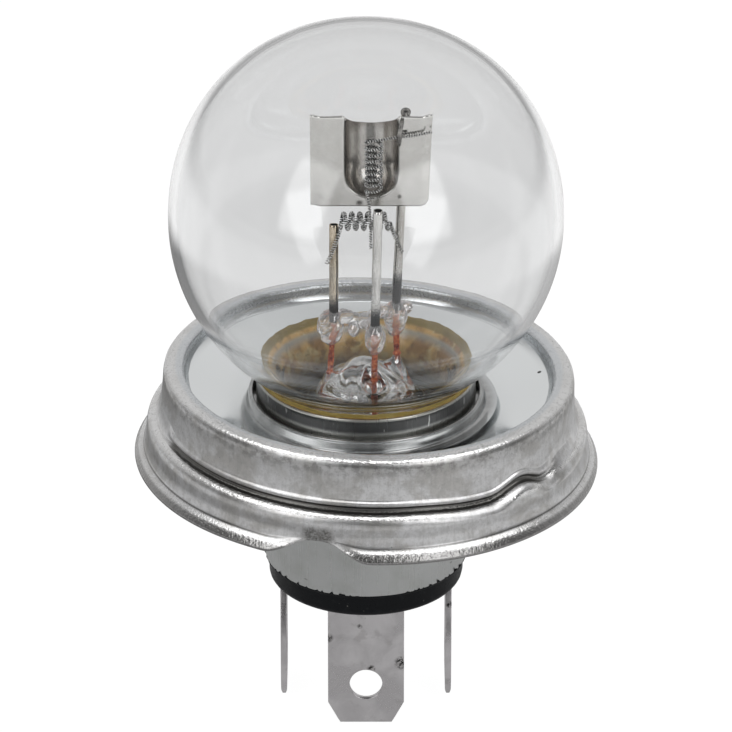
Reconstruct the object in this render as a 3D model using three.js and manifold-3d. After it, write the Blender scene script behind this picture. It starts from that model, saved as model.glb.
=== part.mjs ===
// Twin filament headlight bulb with a soldered prefocus ring (cap P45t-41, three blade terminals).
// Millimetres, +Z along the ring's axis towards the glass. The origin is on the ring's axis in the
// plane of the seating ledge, the flat shoulder that rests against the reflector.
import * as THREE from "three";
import Module from "manifold-3d";

const wasm = await Module();
wasm.setup();

// ---- Driving dimensions. Heights are measured from a base plane just under the flange. ----

const SEAT_HEIGHT = 4.75; // seating ledge
const LAMP_LEAN_DEG = 1.65; // the lamp is set this far off square to its ring, towards -X

const FLANGE_RADIUS = 22.5;
const FLANGE_EDGE = 0.6; // height of the flange's lower edge
const SHEET = 0.5; // thickness of the ring's sheet metal
const DRUM_RADIUS = 21.4; // wall between flange and ledge
const COLLAR_RADIUS = 20.1;
const RIM_HEIGHT = 9.35; // centre of the rolled rim's section
const RIM_RADIUS = 18.95;
const RIM_ROLL = 0.85;
const DISH_OUTER = 17.3;
const DISH_OUTER_HEIGHT = 8.4;
const DISH_INNER = 11.75; // edge of the dish's hole
const DISH_INNER_HEIGHT = 6.4;
const RING_STEPS = 60;

const NOTCH_AZIMUTH_DEG = -102.5; // locating notch in the flange
const NOTCH_HALF_WIDTH_DEG = 11;
const NOTCH_SIDE_DEG = 6.5;
const GROOVE_FROM_DEG = -163; // pressed groove over the ledge, between these azimuths
const GROOVE_TO_DEG = -36;
const GROOVE_END_DEG = 6; // over which it loses its depth
const GROOVE_CLIMB_DEG = 20; // over which its upper edge climbs
const GROOVE_CLIMB = 0.85;

const COLLAR_SLEEVE_RADIUS = 11.5; // sleeve between the ring's dish and the cap shell
const COLLAR_SLEEVE_TOP = 7.7;
const COLLAR_SLEEVE_BOTTOM = 5;
const JOINT_AZIMUTHS_DEG = [30, 150, -90];
const JOINT_RADII = [1, 1.8, 0.9];

const GLASS_RADIUS = 18.93;
const GLASS_CENTRE = 26.16;
const GLASS_WALL = 0.8;
const CROWN_POWER = 2.12; // superellipse power of the slightly square crown
const NECK_RADIUS = 8.9;
const NECK_BOTTOM = 3.4;
const GLASS_STEPS = 36;

const SHELL_RADIUS = 10.6;
const SHELL_TOP = 9.86;
const SHELL_FOOT_RADIUS = 9.85;
const SHELL_BOTTOM = -9.75;
const SHELL_SHEET = 0.4;
const SHELL_STEPS = 48;

const INSULATOR_RADIUS = 9.46;
const INSULATOR_BOTTOM = -12.2;
const INSULATOR_TOP = -8;
const SPIGOT_RADIUS = 9.3; // part of the insulator inside the shell

const BLADE_WIDTH = 7.4;
const BLADE_SHEET = 0.6;
const BLADE_RADIUS = 8.07; // axis to the middle of the blade's thickness
const BLADE_BOTTOM = -24.6;
const BLADE_HOLE_RADIUS = 1.6;
const BLADE_HOLE_HEIGHT = 4.3; // above the blade's lower end
const BLADE_CORNER = [1.2, 2.3]; // width and height of the cut corners
const TANG_WIDTH = 5.2;
const TANG_TOP = -7;
const SLOT_CLEARANCE = 0.15;

const POST_RADIUS = 0.44;
const POST_BORE = 0.26;
const LEAD_RADIUS = 0.33;
const COIL_WIRE = 0.13; // half thickness of the coiled tungsten
const COIL_RADIUS = 0.68;
const PASSING_HEIGHT = 29.1; // lower end of the upright coil
const DRIVING_HEIGHT = 25.75; // axis of the level coil

const SHIELD_PLANE = 0.6; // the plate's y
const SHIELD_SHEET = 0.2;
const SHIELD_LEFT = -5.3;
const SHIELD_RIGHT = 6.3;
const SHIELD_TOP = 36.4;
const SHIELD_BOTTOM = 27.1;
const FLAP_WIDTH = 0.8; // side strips, bent back
const FLAP_BACK = 0.35;
const CUP_CENTRE = 0.52;
const CUP_RADIUS = 2.65;
const CUP_DEPTH = 2.6;
const CUP_FLOOR = 27.9;
const CUP_LIP_DROP = 1.8; // how far the pressing draws the plate's top edge down

// The three supports, as points in the lamp's frame: where each lead enters the stem,
// where it meets its post inside the glass bead, and the post's free end.
const SUPPORTS = {
  left: { stem: [-3.6, 0, 8.2], bead: [-3.12, 0, 14.9], top: [-3.07, 0, 25.4] },
  front: { stem: [0.78, -2.8, 8.8], bead: [0.87, -2.75, 15], top: [1.14, -2.4, 28] },
  back: { stem: [3.05, 1.95, 9.4], bead: [2.88, 1.9, 15], top: [3.75, 1.3, 36.6] },
};
const BEADS = {
  left: { centre: [-3.3, 0, 14.8], radii: [1.2, 1, 1.2] },
  front: { centre: [0.87, -2.75, 14.9], radii: [0.9, 0.9, 1.5] },
  back: { centre: [2.86, 1.9, 15], radii: [1.4, 1.1, 1.35] },
};
const BRIDGE_KNOT = [-0.2, -0.3, 15.2];
const BLADE_AZIMUTH_DEG = { left: 180, front: -90, right: 0 };
const LEAD_OF_BLADE = { left: "left", front: "front", right: "back" };

// ---- Helpers ----

const v3 = (p) => new THREE.Vector3(...p);
const v2 = (pairs) => pairs.map(([r, z]) => new THREE.Vector2(r, z));
const radians = THREE.MathUtils.degToRad;
const smooth = (t) => THREE.MathUtils.smoothstep(t, 0, 1);

// LatheGeometry turns about Y; this stands it up on Z.
function lathe(profile, steps) {
  return new THREE.LatheGeometry(v2(profile), steps).rotateX(Math.PI / 2);
}

function arc(centre, radius, fromDeg, toDeg, count) {
  const points = [];
  for (let i = 0; i <= count; i++) {
    const a = radians(fromDeg + ((toDeg - fromDeg) * i) / count);
    points.push([centre[0] + radius * Math.cos(a), centre[1] + radius * Math.sin(a)]);
  }
  return points;
}

// A closed skin through rows of points; each row is a loop, and the rows join into a ring
// (closed) or are capped at both ends.
function skin(rows, closed) {
  const size = rows[0].length;
  const index = [];
  const at = (i, j) => (i % rows.length) * size + (j % size);
  const last = closed ? rows.length : rows.length - 1;
  for (let i = 0; i < last; i++) {
    for (let j = 0; j < size; j++) {
      index.push(at(i, j), at(i + 1, j), at(i + 1, j + 1));
      index.push(at(i, j), at(i + 1, j + 1), at(i, j + 1));
    }
  }
  const geometry = new THREE.BufferGeometry();
  geometry.setAttribute("position", new THREE.Float32BufferAttribute(rows.flat(2), 3));
  return geometry.setIndex(index);
}

function polygon(radius, sides) {
  const shape = new THREE.Shape();
  for (let i = 0; i < sides; i++) {
    const a = (2 * Math.PI * i) / sides;
    shape[i ? "lineTo" : "moveTo"](radius * Math.cos(a), radius * Math.sin(a));
  }
  return shape;
}

function wireAlong(points, radius, steps, sides = 6) {
  const curve = new THREE.CatmullRomCurve3(points.map(v3), false, "centripetal");
  curve.arcLengthDivisions = 20 * points.length;
  return new THREE.ExtrudeGeometry(polygon(radius, sides), { steps, extrudePath: curve });
}

function standBetween(geometry, from, to) {
  const direction = v3(to).sub(v3(from)).normalize();
  const turn = new THREE.Quaternion().setFromUnitVectors(new THREE.Vector3(0, 0, 1), direction);
  return geometry.applyQuaternion(turn).translate(...from);
}

const spanOf = (from, to) => v3(from).distanceTo(v3(to));

function rodBetween(from, to, radius, steps) {
  const length = spanOf(from, to);
  const profile = [[0, 0], [radius, 0], [radius, length], [0, length]];
  return standBetween(lathe(profile, steps), from, to);
}

function ellipsoid(centre, radii) {
  const profile = arc([0, 0], 1, -90, 90, 7).map(([r, z]) => [Math.max(r, 0), z]);
  profile[0][0] = 0;
  profile[profile.length - 1][0] = 0;
  const geometry = lathe(profile, 12);
  return geometry.scale(...radii).translate(...centre);
}

// Booleans on plain position and index buffers.
function solid(geometry) {
  const position = geometry.getAttribute("position");
  const keys = new Map();
  const vertices = [];
  const order = [];
  for (let i = 0; i < position.count; i++) {
    const p = [position.getX(i), position.getY(i), position.getZ(i)];
    const key = p.map((c) => Math.round(c * 1e4)).join(",");
    if (!keys.has(key)) {
      keys.set(key, vertices.length / 3);
      vertices.push(...p);
    }
    order.push(keys.get(key));
  }
  const corners = geometry.index ? Array.from(geometry.index.array, (i) => order[i]) : order;
  const triangles = [];
  for (let i = 0; i < corners.length; i += 3) {
    const [a, b, c] = corners.slice(i, i + 3);
    if (a !== b && b !== c && c !== a) triangles.push(a, b, c);
  }
  const mesh = new wasm.Mesh({
    numProp: 3,
    vertProperties: Float32Array.from(vertices),
    triVerts: Uint32Array.from(triangles),
  });
  return new wasm.Manifold(mesh);
}

function geometryOf(body) {
  const mesh = body.getMesh();
  const geometry = new THREE.BufferGeometry();
  geometry.setAttribute("position", new THREE.BufferAttribute(Float32Array.from(mesh.vertProperties), 3));
  return geometry.setIndex(new THREE.BufferAttribute(Uint32Array.from(mesh.triVerts), 1));
}

const joined = (geometries) => wasm.Manifold.union(geometries.map(solid));

// ---- Finishes ----

const FINISH = {
  glass: { color: 0xe8eef0, roughness: 0.05, metalness: 0, transparent: true, opacity: 0.3 },
  steel: { color: 0xa9abac, roughness: 0.35, metalness: 1 },
  darkSteel: { color: 0x8a8c8f, roughness: 0.4, metalness: 1 },
  nickel: { color: 0xb9b3a6, roughness: 0.3, metalness: 1 },
  copper: { color: 0xb4532f, roughness: 0.45, metalness: 1 },
  tungsten: { color: 0x6c6c70, roughness: 0.45, metalness: 1 },
  cement: { color: 0xa58a5c, roughness: 0.9, metalness: 0 },
  insulator: { color: 0x1b1c1f, roughness: 0.5, metalness: 0 },
  solder: { color: 0x9a9c9e, roughness: 0.4, metalness: 1 },
};

function part(name, finish, geometry) {
  if (geometry.attributes.normal === undefined) geometry.computeVertexNormals();
  const mesh = new THREE.Mesh(geometry, new THREE.MeshStandardMaterial(FINISH[finish]));
  mesh.name = name;
  return mesh;
}

// ---- Prefocus ring ----

// 1 in the middle of the flange's notch, 0 outside it.
function notchAt(degrees) {
  return smooth((NOTCH_HALF_WIDTH_DEG - Math.abs(degrees - NOTCH_AZIMUTH_DEG)) / NOTCH_SIDE_DEG);
}

// Degrees from an azimuth inside the pressed groove to the groove's nearer end.
function insideGroove(degrees) {
  return Math.min(degrees - GROOVE_FROM_DEG, GROOVE_TO_DEG - degrees);
}

function mixPoint(a, b, t) {
  return [a[0] + (b[0] - a[0]) * t, a[1] + (b[1] - a[1]) * t];
}

// Section of the ring at an azimuth, from the flange's edge up the outside, over the rolled rim,
// down the dish to its hole and back along the underside.
function ringSection(degrees) {
  const notch = notchAt(degrees);
  const groove = smooth(insideGroove(degrees) / GROOVE_END_DEG);
  const rise = GROOVE_CLIMB * (1 - smooth(insideGroove(degrees) / GROOVE_CLIMB_DEG));
  const notched = [
    [DRUM_RADIUS - 0.25, 2.15],
    [DRUM_RADIUS - 0.03, 2.2],
    [DRUM_RADIUS, 2.35],
    [DRUM_RADIUS, 2.5],
  ];
  const flange = [
    [FLANGE_RADIUS, FLANGE_EDGE],
    [FLANGE_RADIUS, FLANGE_EDGE + 0.4],
    [22, FLANGE_EDGE + 1],
    [21.55, FLANGE_EDGE + 1.55],
  ].map((p, i) => mixPoint(p, notched[i], notch));
  const plainFoot = [
    [20, 6.9],
    [20.05, 6.3],
    [20.08, 5.9],
    [20.09, 5.6],
    [20.1, 5.2],
    [20.35, SEAT_HEIGHT],
  ];
  const groovedFoot = [
    [20.06, 6.4 + 0.6 * rise],
    [20.34, 6.05 + rise],
    [20.3, 5.72 + rise],
    [19.88, 5.4 + 0.5 * rise],
    [19.9, 4.95],
    [20.35, SEAT_HEIGHT],
  ];
  const foot = plainFoot.map((p, i) => mixPoint(p, groovedFoot[i], groove)).reverse();
  const rimOutside = arc([RIM_RADIUS, RIM_HEIGHT], RIM_ROLL, 0, 180, 5);
  const rimInside = arc([RIM_RADIUS, RIM_HEIGHT], RIM_ROLL - SHEET, 180, 0, 3);
  const underFlange = [
    [20.85, 2.7],
    mixPoint([21.05, FLANGE_EDGE + 1.4], [20.88, 2.4], notch),
    mixPoint([21.55, FLANGE_EDGE + 0.6], [20.9, 2.25], notch),
    mixPoint([22.1, FLANGE_EDGE], [20.92, 2.15], notch),
  ];
  return [
    ...flange,
    [DRUM_RADIUS, 2.75],
    [21.36, 3.8],
    [21.22, 4.4],
    [20.9, SEAT_HEIGHT],
    ...foot,
    [19.88, 8.4],
    ...rimOutside,
    [17.75, 8.9],
    [DISH_OUTER, DISH_OUTER_HEIGHT],
    [DISH_INNER, DISH_INNER_HEIGHT],
    [DISH_INNER, DISH_INNER_HEIGHT - SHEET],
    [DISH_OUTER + 0.2, DISH_OUTER_HEIGHT - 0.5],
    [18.3, RIM_HEIGHT - 0.7],
    ...rimInside,
    [19.4, 8.4],
    [19.45, 4.7],
    [19.8, 4.25],
    [20.75, 4.2],
    ...underFlange,
  ];
}

function prefocusRing() {
  const rows = [];
  for (let i = 0; i < RING_STEPS; i++) {
    const degrees = (360 * i) / RING_STEPS - 180;
    const a = radians(degrees);
    rows.push(ringSection(degrees).map(([r, z]) => [r * Math.cos(a), r * Math.sin(a), z]));
  }
  return part("prefocus_ring", "steel", skin(rows, true));
}

// The sleeve stands up through the dish's hole; its foot turns out under the dish.
function collarSleeve() {
  const outer = COLLAR_SLEEVE_RADIUS;
  const inner = outer - SHEET;
  const profile = [
    [inner, COLLAR_SLEEVE_BOTTOM],
    [outer + 1, COLLAR_SLEEVE_BOTTOM],
    [outer + 1, COLLAR_SLEEVE_BOTTOM + 0.4],
    [outer, COLLAR_SLEEVE_BOTTOM + 0.4],
    [outer, COLLAR_SLEEVE_TOP - 0.2],
    [outer - SHEET / 2, COLLAR_SLEEVE_TOP],
    [inner, COLLAR_SLEEVE_TOP - 0.2],
    [inner, COLLAR_SLEEVE_BOTTOM],
  ];
  return part("collar_sleeve", "darkSteel", lathe(profile, SHELL_STEPS));
}

// ---- Cap: shell, insulator, blade terminals ----

function capShell() {
  const wall = SHELL_SHEET;
  const profile = [
    [SHELL_FOOT_RADIUS, SHELL_BOTTOM],
    [SHELL_FOOT_RADIUS + 0.02, -4],
    [SHELL_FOOT_RADIUS + 0.12, 0.6],
    [SHELL_RADIUS, 2.4],
    [SHELL_RADIUS, SHELL_TOP - 0.12],
    [SHELL_RADIUS - 0.12, SHELL_TOP],
    [SHELL_RADIUS - wall, SHELL_TOP - 0.12],
    [SHELL_RADIUS - wall, 2.6],
    [SHELL_FOOT_RADIUS + 0.12 - wall, 0.7],
    [SHELL_FOOT_RADIUS - wall, -4],
    [SHELL_FOOT_RADIUS - wall, SHELL_BOTTOM],
    [SHELL_FOOT_RADIUS, SHELL_BOTTOM],
  ];
  return part("cap_shell", "darkSteel", lathe(profile, SHELL_STEPS));
}

// Places something built facing -Y (outward at azimuth -90) at a blade's azimuth.
function atBlade(geometry, side) {
  return geometry.rotateZ(radians(BLADE_AZIMUTH_DEG[side] + 90));
}

function plateFacingOut(shape, thickness) {
  return new THREE.ExtrudeGeometry(shape, { depth: thickness, bevelEnabled: false, curveSegments: 10 })
    .translate(0, 0, -thickness / 2)
    .rotateX(Math.PI / 2)
    .translate(0, -BLADE_RADIUS, 0);
}

function rectangle(width, bottom, top) {
  const shape = new THREE.Shape();
  shape.moveTo(-width / 2, bottom);
  shape.lineTo(width / 2, bottom);
  shape.lineTo(width / 2, top);
  shape.lineTo(-width / 2, top);
  shape.closePath();
  return shape;
}

function insulator() {
  const profile = [
    [0, INSULATOR_BOTTOM],
    [INSULATOR_RADIUS - 0.35, INSULATOR_BOTTOM],
    [INSULATOR_RADIUS, INSULATOR_BOTTOM + 0.35],
    [INSULATOR_RADIUS, SHELL_BOTTOM - 0.05],
    [SPIGOT_RADIUS, SHELL_BOTTOM - 0.05],
    [SPIGOT_RADIUS, INSULATOR_TOP],
    [0, INSULATOR_TOP],
  ];
  let body = solid(lathe(profile, SHELL_STEPS));
  for (const side of Object.keys(BLADE_AZIMUTH_DEG)) {
    const opening = rectangle(TANG_WIDTH + 2 * SLOT_CLEARANCE, INSULATOR_BOTTOM - 1, INSULATOR_TOP + 1);
    body = body.subtract(solid(atBlade(plateFacingOut(opening, BLADE_SHEET + 2 * SLOT_CLEARANCE), side)));
  }
  return part("insulator", "insulator", geometryOf(body));
}

function bladeOutline() {
  const half = BLADE_WIDTH / 2;
  const shoulder = INSULATOR_BOTTOM - 0.05;
  const [cutWidth, cutHeight] = BLADE_CORNER;
  const shape = new THREE.Shape();
  shape.moveTo(-half + cutWidth, BLADE_BOTTOM);
  shape.lineTo(half - cutWidth, BLADE_BOTTOM);
  shape.lineTo(half, BLADE_BOTTOM + cutHeight);
  shape.lineTo(half, shoulder);
  shape.lineTo(TANG_WIDTH / 2, shoulder);
  shape.lineTo(TANG_WIDTH / 2, TANG_TOP);
  shape.lineTo(-TANG_WIDTH / 2, TANG_TOP);
  shape.lineTo(-TANG_WIDTH / 2, shoulder);
  shape.lineTo(-half, shoulder);
  shape.lineTo(-half, BLADE_BOTTOM + cutHeight);
  shape.closePath();
  const hole = new THREE.Path();
  hole.absarc(0, BLADE_BOTTOM + BLADE_HOLE_HEIGHT, BLADE_HOLE_RADIUS, 0, 2 * Math.PI, true);
  shape.holes.push(hole);
  return shape;
}

function terminal(side) {
  return part("terminal_" + side, "nickel", atBlade(plateFacingOut(bladeOutline(), BLADE_SHEET), side));
}

// One of the solder joints that fill the gap between the sleeve and the shell.
function ringJoint(number, degrees) {
  const a = radians(degrees);
  const inner = SHELL_RADIUS + 0.03;
  const outer = COLLAR_SLEEVE_RADIUS - SHEET - 0.05;
  const middle = [SHELL_RADIUS * Math.cos(a), SHELL_RADIUS * Math.sin(a), COLLAR_SLEEVE_BOTTOM + 0.5];
  const body = solid(ellipsoid([0, 0, 0], JOINT_RADII).rotateZ(a).translate(...middle));
  const channel = solid(lathe([[inner, 3], [outer, 3], [outer, 9], [inner, 9], [inner, 3]], SHELL_STEPS));
  return part("ring_joint_" + number, "solder", geometryOf(body.intersect(channel)));
}

// ---- Glass and what it holds ----

// The neck's outside, from its lower end up to where it runs into the bulb.
const NECK_OUTSIDE = [
  [NECK_RADIUS, NECK_BOTTOM],
  [NECK_RADIUS, 7.4],
  [9.05, 8.6],
  [9.5, 9.5],
];

function bulbOutside() {
  const points = [];
  const count = 12;
  const start = Math.asin(10.1 / GLASS_RADIUS) - Math.PI / 2;
  for (let i = 0; i <= count; i++) {
    const a = start + ((Math.PI / 2 - start) * i) / count;
    const power = a > 0 ? 2 / CROWN_POWER : 1;
    const r = GLASS_RADIUS * Math.pow(Math.max(Math.cos(a), 0), power);
    const h = GLASS_RADIUS * Math.sign(a) * Math.pow(Math.abs(Math.sin(a)), power);
    points.push([i === count ? 0 : r, GLASS_CENTRE + h]);
  }
  return points;
}

function glassEnvelope() {
  const outside = [...NECK_OUTSIDE, ...bulbOutside()];
  const shrink = (GLASS_RADIUS - GLASS_WALL) / GLASS_RADIUS;
  const inside = [
    ...NECK_OUTSIDE.map(([r, z]) => [r - GLASS_WALL, z]),
    ...bulbOutside().map(([r, z]) => [r * shrink, GLASS_CENTRE + (z - GLASS_CENTRE) * shrink]),
  ];
  return part("glass_envelope", "glass", lathe([...inside.reverse(), ...outside], GLASS_STEPS));
}

function cementRing() {
  const gap = 0.06;
  const profile = [
    [NECK_RADIUS + gap, 4.4],
    [SHELL_RADIUS - SHELL_SHEET - gap, 4.4],
    [SHELL_RADIUS - SHELL_SHEET - gap, SHELL_TOP + gap],
    [SHELL_RADIUS - 0.1, SHELL_TOP + gap],
    [10.86, 10.3],
    [10.9, 10.62],
    [10.15, 10.02],
    [9.66, 9.5],
    [9.15, 8.6],
    [NECK_RADIUS + gap, 7.4],
    [NECK_RADIUS + gap, 4.4],
  ];
  return part("cement_ring", "cement", lathe(profile, GLASS_STEPS));
}

// Point on a support's lead, a share t of the way from the stem to the bead.
function onLead(support, t) {
  return support.stem.map((c, i) => c + (support.bead[i] - c) * t);
}

function leadBore(support) {
  return rodBetween(onLead(support, -0.9), onLead(support, 0.4), LEAD_RADIUS + 0.16, 10);
}

function stem() {
  const profile = [
    [0, 6.8],
    [3.9, 6.2],
    [4.4, 5.2],
    [6.1, 3.9],
    [8, 3.5],
    [8, 4.2],
    [6.3, 4.9],
    [5.1, 6.2],
    [4.4, 7.4],
    [2.6, 8.1],
    [0, 8.3],
  ];
  const sleeves = Object.values(SUPPORTS).map((s) =>
    standBetween(lathe([[0, -2.1], [1.45, -2.1], [0.95, 0.3], [0.55, 0.9], [0, 0.9]], 14), s.stem, s.bead),
  );
  let body = joined([lathe(profile, 32), ...sleeves]);
  for (const support of Object.values(SUPPORTS)) body = body.subtract(solid(leadBore(support)));
  return part("stem", "glass", geometryOf(body));
}

function beadBridge() {
  const beads = Object.values(BEADS).map((b) => ellipsoid(b.centre, b.radii));
  const arms = Object.values(BEADS).map((b) => rodBetween(BRIDGE_KNOT, b.centre, 0.5, 10));
  let body = joined([ellipsoid(BRIDGE_KNOT, [0.85, 0.75, 0.6]), ...beads, ...arms]);
  for (const s of Object.values(SUPPORTS)) {
    const below = onLead(s, 0.7);
    const above = v3(s.bead).lerp(v3(s.top), 0.25).toArray();
    body = body.subtract(solid(rodBetween(below, s.bead, LEAD_RADIUS + 0.06, 10)));
    body = body.subtract(solid(rodBetween(s.bead, above, POST_RADIUS + 0.06, 10)));
  }
  return part("bead_bridge", "glass", geometryOf(body));
}

function post(name) {
  const { bead, top } = SUPPORTS[name];
  const from = v3(bead).lerp(v3(top), 0.02).toArray();
  const length = spanOf(from, top);
  const profile = [
    [POST_BORE, 0],
    [POST_RADIUS, 0],
    [POST_RADIUS, length],
    [POST_BORE, length],
    [POST_BORE, 0],
  ];
  return part("post_" + name, "nickel", standBetween(lathe(profile, 12), from, top));
}

// From inside the bead, through the stem, to the tang of its blade.
function lead(side) {
  const support = SUPPORTS[LEAD_OF_BLADE[side]];
  const a = radians(BLADE_AZIMUTH_DEG[side]);
  const out = (r, z) => [r * Math.cos(a), r * Math.sin(a), z];
  const points = [
    onLead(support, 0.98),
    onLead(support, 0.5),
    onLead(support, 0),
    onLead(support, -0.45),
    out(3.6, 1.5),
    out(5.6, -3.5),
    out(BLADE_RADIUS - BLADE_SHEET / 2 - LEAD_RADIUS - 0.05, -7.3),
  ];
  return part("lead_" + side, "copper", wireAlong(points, LEAD_RADIUS, 22));
}

function helix(centre, radius, turns, perTurn, length, phase) {
  const points = [];
  const count = turns * perTurn;
  for (let i = 0; i <= count; i++) {
    const a = phase + (2 * Math.PI * i) / perTurn;
    const [x, y] = [radius * Math.cos(a), radius * Math.sin(a)];
    points.push([centre[0] + x, centre[1] + y, centre[2] + (length * i) / count]);
  }
  return points;
}

function passingFilament() {
  const coil = helix([0.73, -0.25, PASSING_HEIGHT], COIL_RADIUS, 8, 10, 5, Math.PI);
  const lower = [[0.44, -2.62, 24.1], [0.42, -1.95, 26.2], [0.25, -1.25, 28.3]];
  const upper = [[1.4, -0.1, 34.25], [2.6, 0.1, 34.4], [4.4, 0.15, 34.6], [6.2, 0.15, 35]];
  return part("passing_filament", "tungsten", wireAlong([...lower, ...coil, ...upper], COIL_WIRE, 110, 5));
}

function drivingFilament() {
  const upright = helix([0, 0, -2.45], COIL_RADIUS, 6, 10, 4.6, -Math.PI / 2);
  const coil = upright.map(([x, y, z]) => [z, x, DRIVING_HEIGHT + y]);
  const left = [[-3.75, -0.68, 21.6], [-3.1, -0.66, 23.2], [-2.6, -0.35, 24.6]];
  const right = [[2.25, 0.55, 25.3], [2.7, 0.95, 23.9], [3.5, 1.02, 21.9]];
  return part("driving_filament", "tungsten", wireAlong([...left, ...coil, ...right], COIL_WIRE, 92, 5));
}

// Half the cup's width at a height, as a share of its radius: 1 above the rounded floor.
function cupWidth(z) {
  const below = Math.min(0, z - (CUP_FLOOR + CUP_RADIUS)) / CUP_RADIUS;
  return Math.sqrt(Math.max(0, 1 - below * below));
}

const pressed = (share) => Math.pow(Math.max(0, share), 0.6);

// Column is a side strip's or the plate's own x, or, inside the cup, a share of its half width.
function shieldPoint(column, z, layer) {
  const width = cupWidth(z);
  const x = column.x ?? CUP_CENTRE + CUP_RADIUS * column.across * Math.max(width, 0.12);
  const flap = Math.max(SHIELD_LEFT + FLAP_WIDTH - x, x - (SHIELD_RIGHT - FLAP_WIDTH), 0) / FLAP_WIDTH;
  const across = column.across === undefined ? 0 : pressed(1 - column.across ** 2);
  const up = (z - SHIELD_BOTTOM) / (SHIELD_TOP - SHIELD_BOTTOM);
  const slant = 0.35 * (1 - up) * Math.max(0, x - (SHIELD_RIGHT - FLAP_WIDTH)) / FLAP_WIDTH;
  return [
    x - slant,
    SHIELD_PLANE + FLAP_BACK * flap + CUP_DEPTH * across * pressed(width ** 2) + layer * SHIELD_SHEET,
    z - CUP_LIP_DROP * across * up ** 4,
  ];
}

function shield() {
  const columns = [{ x: SHIELD_LEFT }, { x: SHIELD_LEFT + FLAP_WIDTH }];
  for (let i = 0; i <= 12; i++) columns.push({ across: -Math.cos((Math.PI * i) / 12) });
  columns.push({ x: SHIELD_RIGHT - FLAP_WIDTH }, { x: SHIELD_RIGHT });
  const heights = [SHIELD_BOTTOM];
  for (let i = 0; i <= 6; i++) heights.push(CUP_FLOOR + CUP_RADIUS * (1 - Math.cos((Math.PI * i) / 12)));
  for (let i = 1; i <= 5; i++) heights.push(heights[7] + ((SHIELD_TOP - heights[7]) * i) / 5);
  const rows = heights.map((z) => [
    ...columns.map((column) => shieldPoint(column, z, 1)),
    ...columns.map((column) => shieldPoint(column, z, 0)).reverse(),
  ]);
  const geometry = skin(rows, false);
  const size = rows[0].length;
  const index = Array.from(geometry.index.array);
  const top = (rows.length - 1) * size;
  for (let j = 0; j < columns.length - 1; j++) {
    const a = j;
    const b = j + 1;
    const c = size - 2 - j;
    const d = size - 1 - j;
    index.push(a, b, c, a, c, d);
    index.push(top + a, top + c, top + b, top + a, top + d, top + c);
  }
  geometry.setIndex(index);
  return part("shield", "nickel", geometry);
}

// The small folded clip that holds the passing filament's upper lead on the plate.
function filamentClip() {
  const shape = new THREE.Shape();
  shape.moveTo(0.55, 0);
  shape.lineTo(0.38, 0);
  shape.lineTo(0.38, 1.3);
  shape.lineTo(0.18, 1.6);
  shape.lineTo(-0.18, 1.6);
  shape.lineTo(-0.22, 0.1);
  shape.lineTo(-0.34, 0.1);
  shape.lineTo(-0.34, 1.75);
  shape.lineTo(0.2, 1.8);
  shape.lineTo(0.55, 1.5);
  shape.closePath();
  const geometry = new THREE.ExtrudeGeometry(shape, { depth: 0.55, bevelEnabled: false })
    .rotateX(Math.PI / 2)
    .rotateZ(Math.PI / 2)
    .translate(3.35, 0, 33.7);
  return part("filament_clip", "nickel", geometry);
}

// ---- Assembly ----

const group = new THREE.Group();
group.name = "headlight_bulb";

const ring = new THREE.Group();
ring.position.z = -SEAT_HEIGHT;
ring.add(prefocusRing());

const lamp = new THREE.Group();
lamp.position.z = -SEAT_HEIGHT;
lamp.rotation.y = -radians(LAMP_LEAN_DEG);
lamp.add(collarSleeve(), capShell(), insulator(), cementRing(), glassEnvelope(), stem(), beadBridge());
for (const side of Object.keys(BLADE_AZIMUTH_DEG)) lamp.add(terminal(side), lead(side));
for (const name of Object.keys(SUPPORTS)) lamp.add(post(name));
lamp.add(passingFilament(), drivingFilament(), shield(), filamentClip());
JOINT_AZIMUTHS_DEG.forEach((degrees, i) => lamp.add(ringJoint(i + 1, degrees)));

group.add(ring, lamp);

export default group;
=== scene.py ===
"""Twin filament headlight bulb: the looks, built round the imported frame.

Pieces are drawn in millimetres. Heights are measured from the plane just under the ring's flange. The
ring stands square to the frame, and the lamp (glass, cap and all they hold) leans a little in it.
"""
from math import asin, atan2, cos, pi, radians, sin

import bmesh
import bpy
import numpy as np
from mathutils import Matrix, Vector


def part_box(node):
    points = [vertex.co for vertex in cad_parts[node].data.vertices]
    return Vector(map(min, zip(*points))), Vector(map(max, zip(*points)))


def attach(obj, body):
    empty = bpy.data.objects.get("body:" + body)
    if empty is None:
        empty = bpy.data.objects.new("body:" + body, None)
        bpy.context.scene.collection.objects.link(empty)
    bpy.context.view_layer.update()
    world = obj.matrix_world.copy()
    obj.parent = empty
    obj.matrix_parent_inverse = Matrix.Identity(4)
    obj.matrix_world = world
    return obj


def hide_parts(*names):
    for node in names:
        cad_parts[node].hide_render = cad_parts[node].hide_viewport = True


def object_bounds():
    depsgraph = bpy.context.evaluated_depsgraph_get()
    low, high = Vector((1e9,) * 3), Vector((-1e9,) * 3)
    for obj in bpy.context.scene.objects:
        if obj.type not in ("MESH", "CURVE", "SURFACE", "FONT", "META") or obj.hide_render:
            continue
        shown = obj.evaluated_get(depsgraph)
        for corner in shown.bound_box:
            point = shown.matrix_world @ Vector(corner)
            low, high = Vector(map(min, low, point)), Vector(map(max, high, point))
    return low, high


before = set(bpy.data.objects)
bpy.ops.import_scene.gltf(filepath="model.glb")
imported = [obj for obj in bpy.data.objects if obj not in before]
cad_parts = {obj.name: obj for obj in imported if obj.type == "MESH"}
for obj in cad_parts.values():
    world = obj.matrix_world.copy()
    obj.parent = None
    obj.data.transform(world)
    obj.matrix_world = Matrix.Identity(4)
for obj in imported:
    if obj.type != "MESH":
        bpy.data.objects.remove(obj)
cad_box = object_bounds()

# ---- Where things are, from the frame ----

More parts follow.
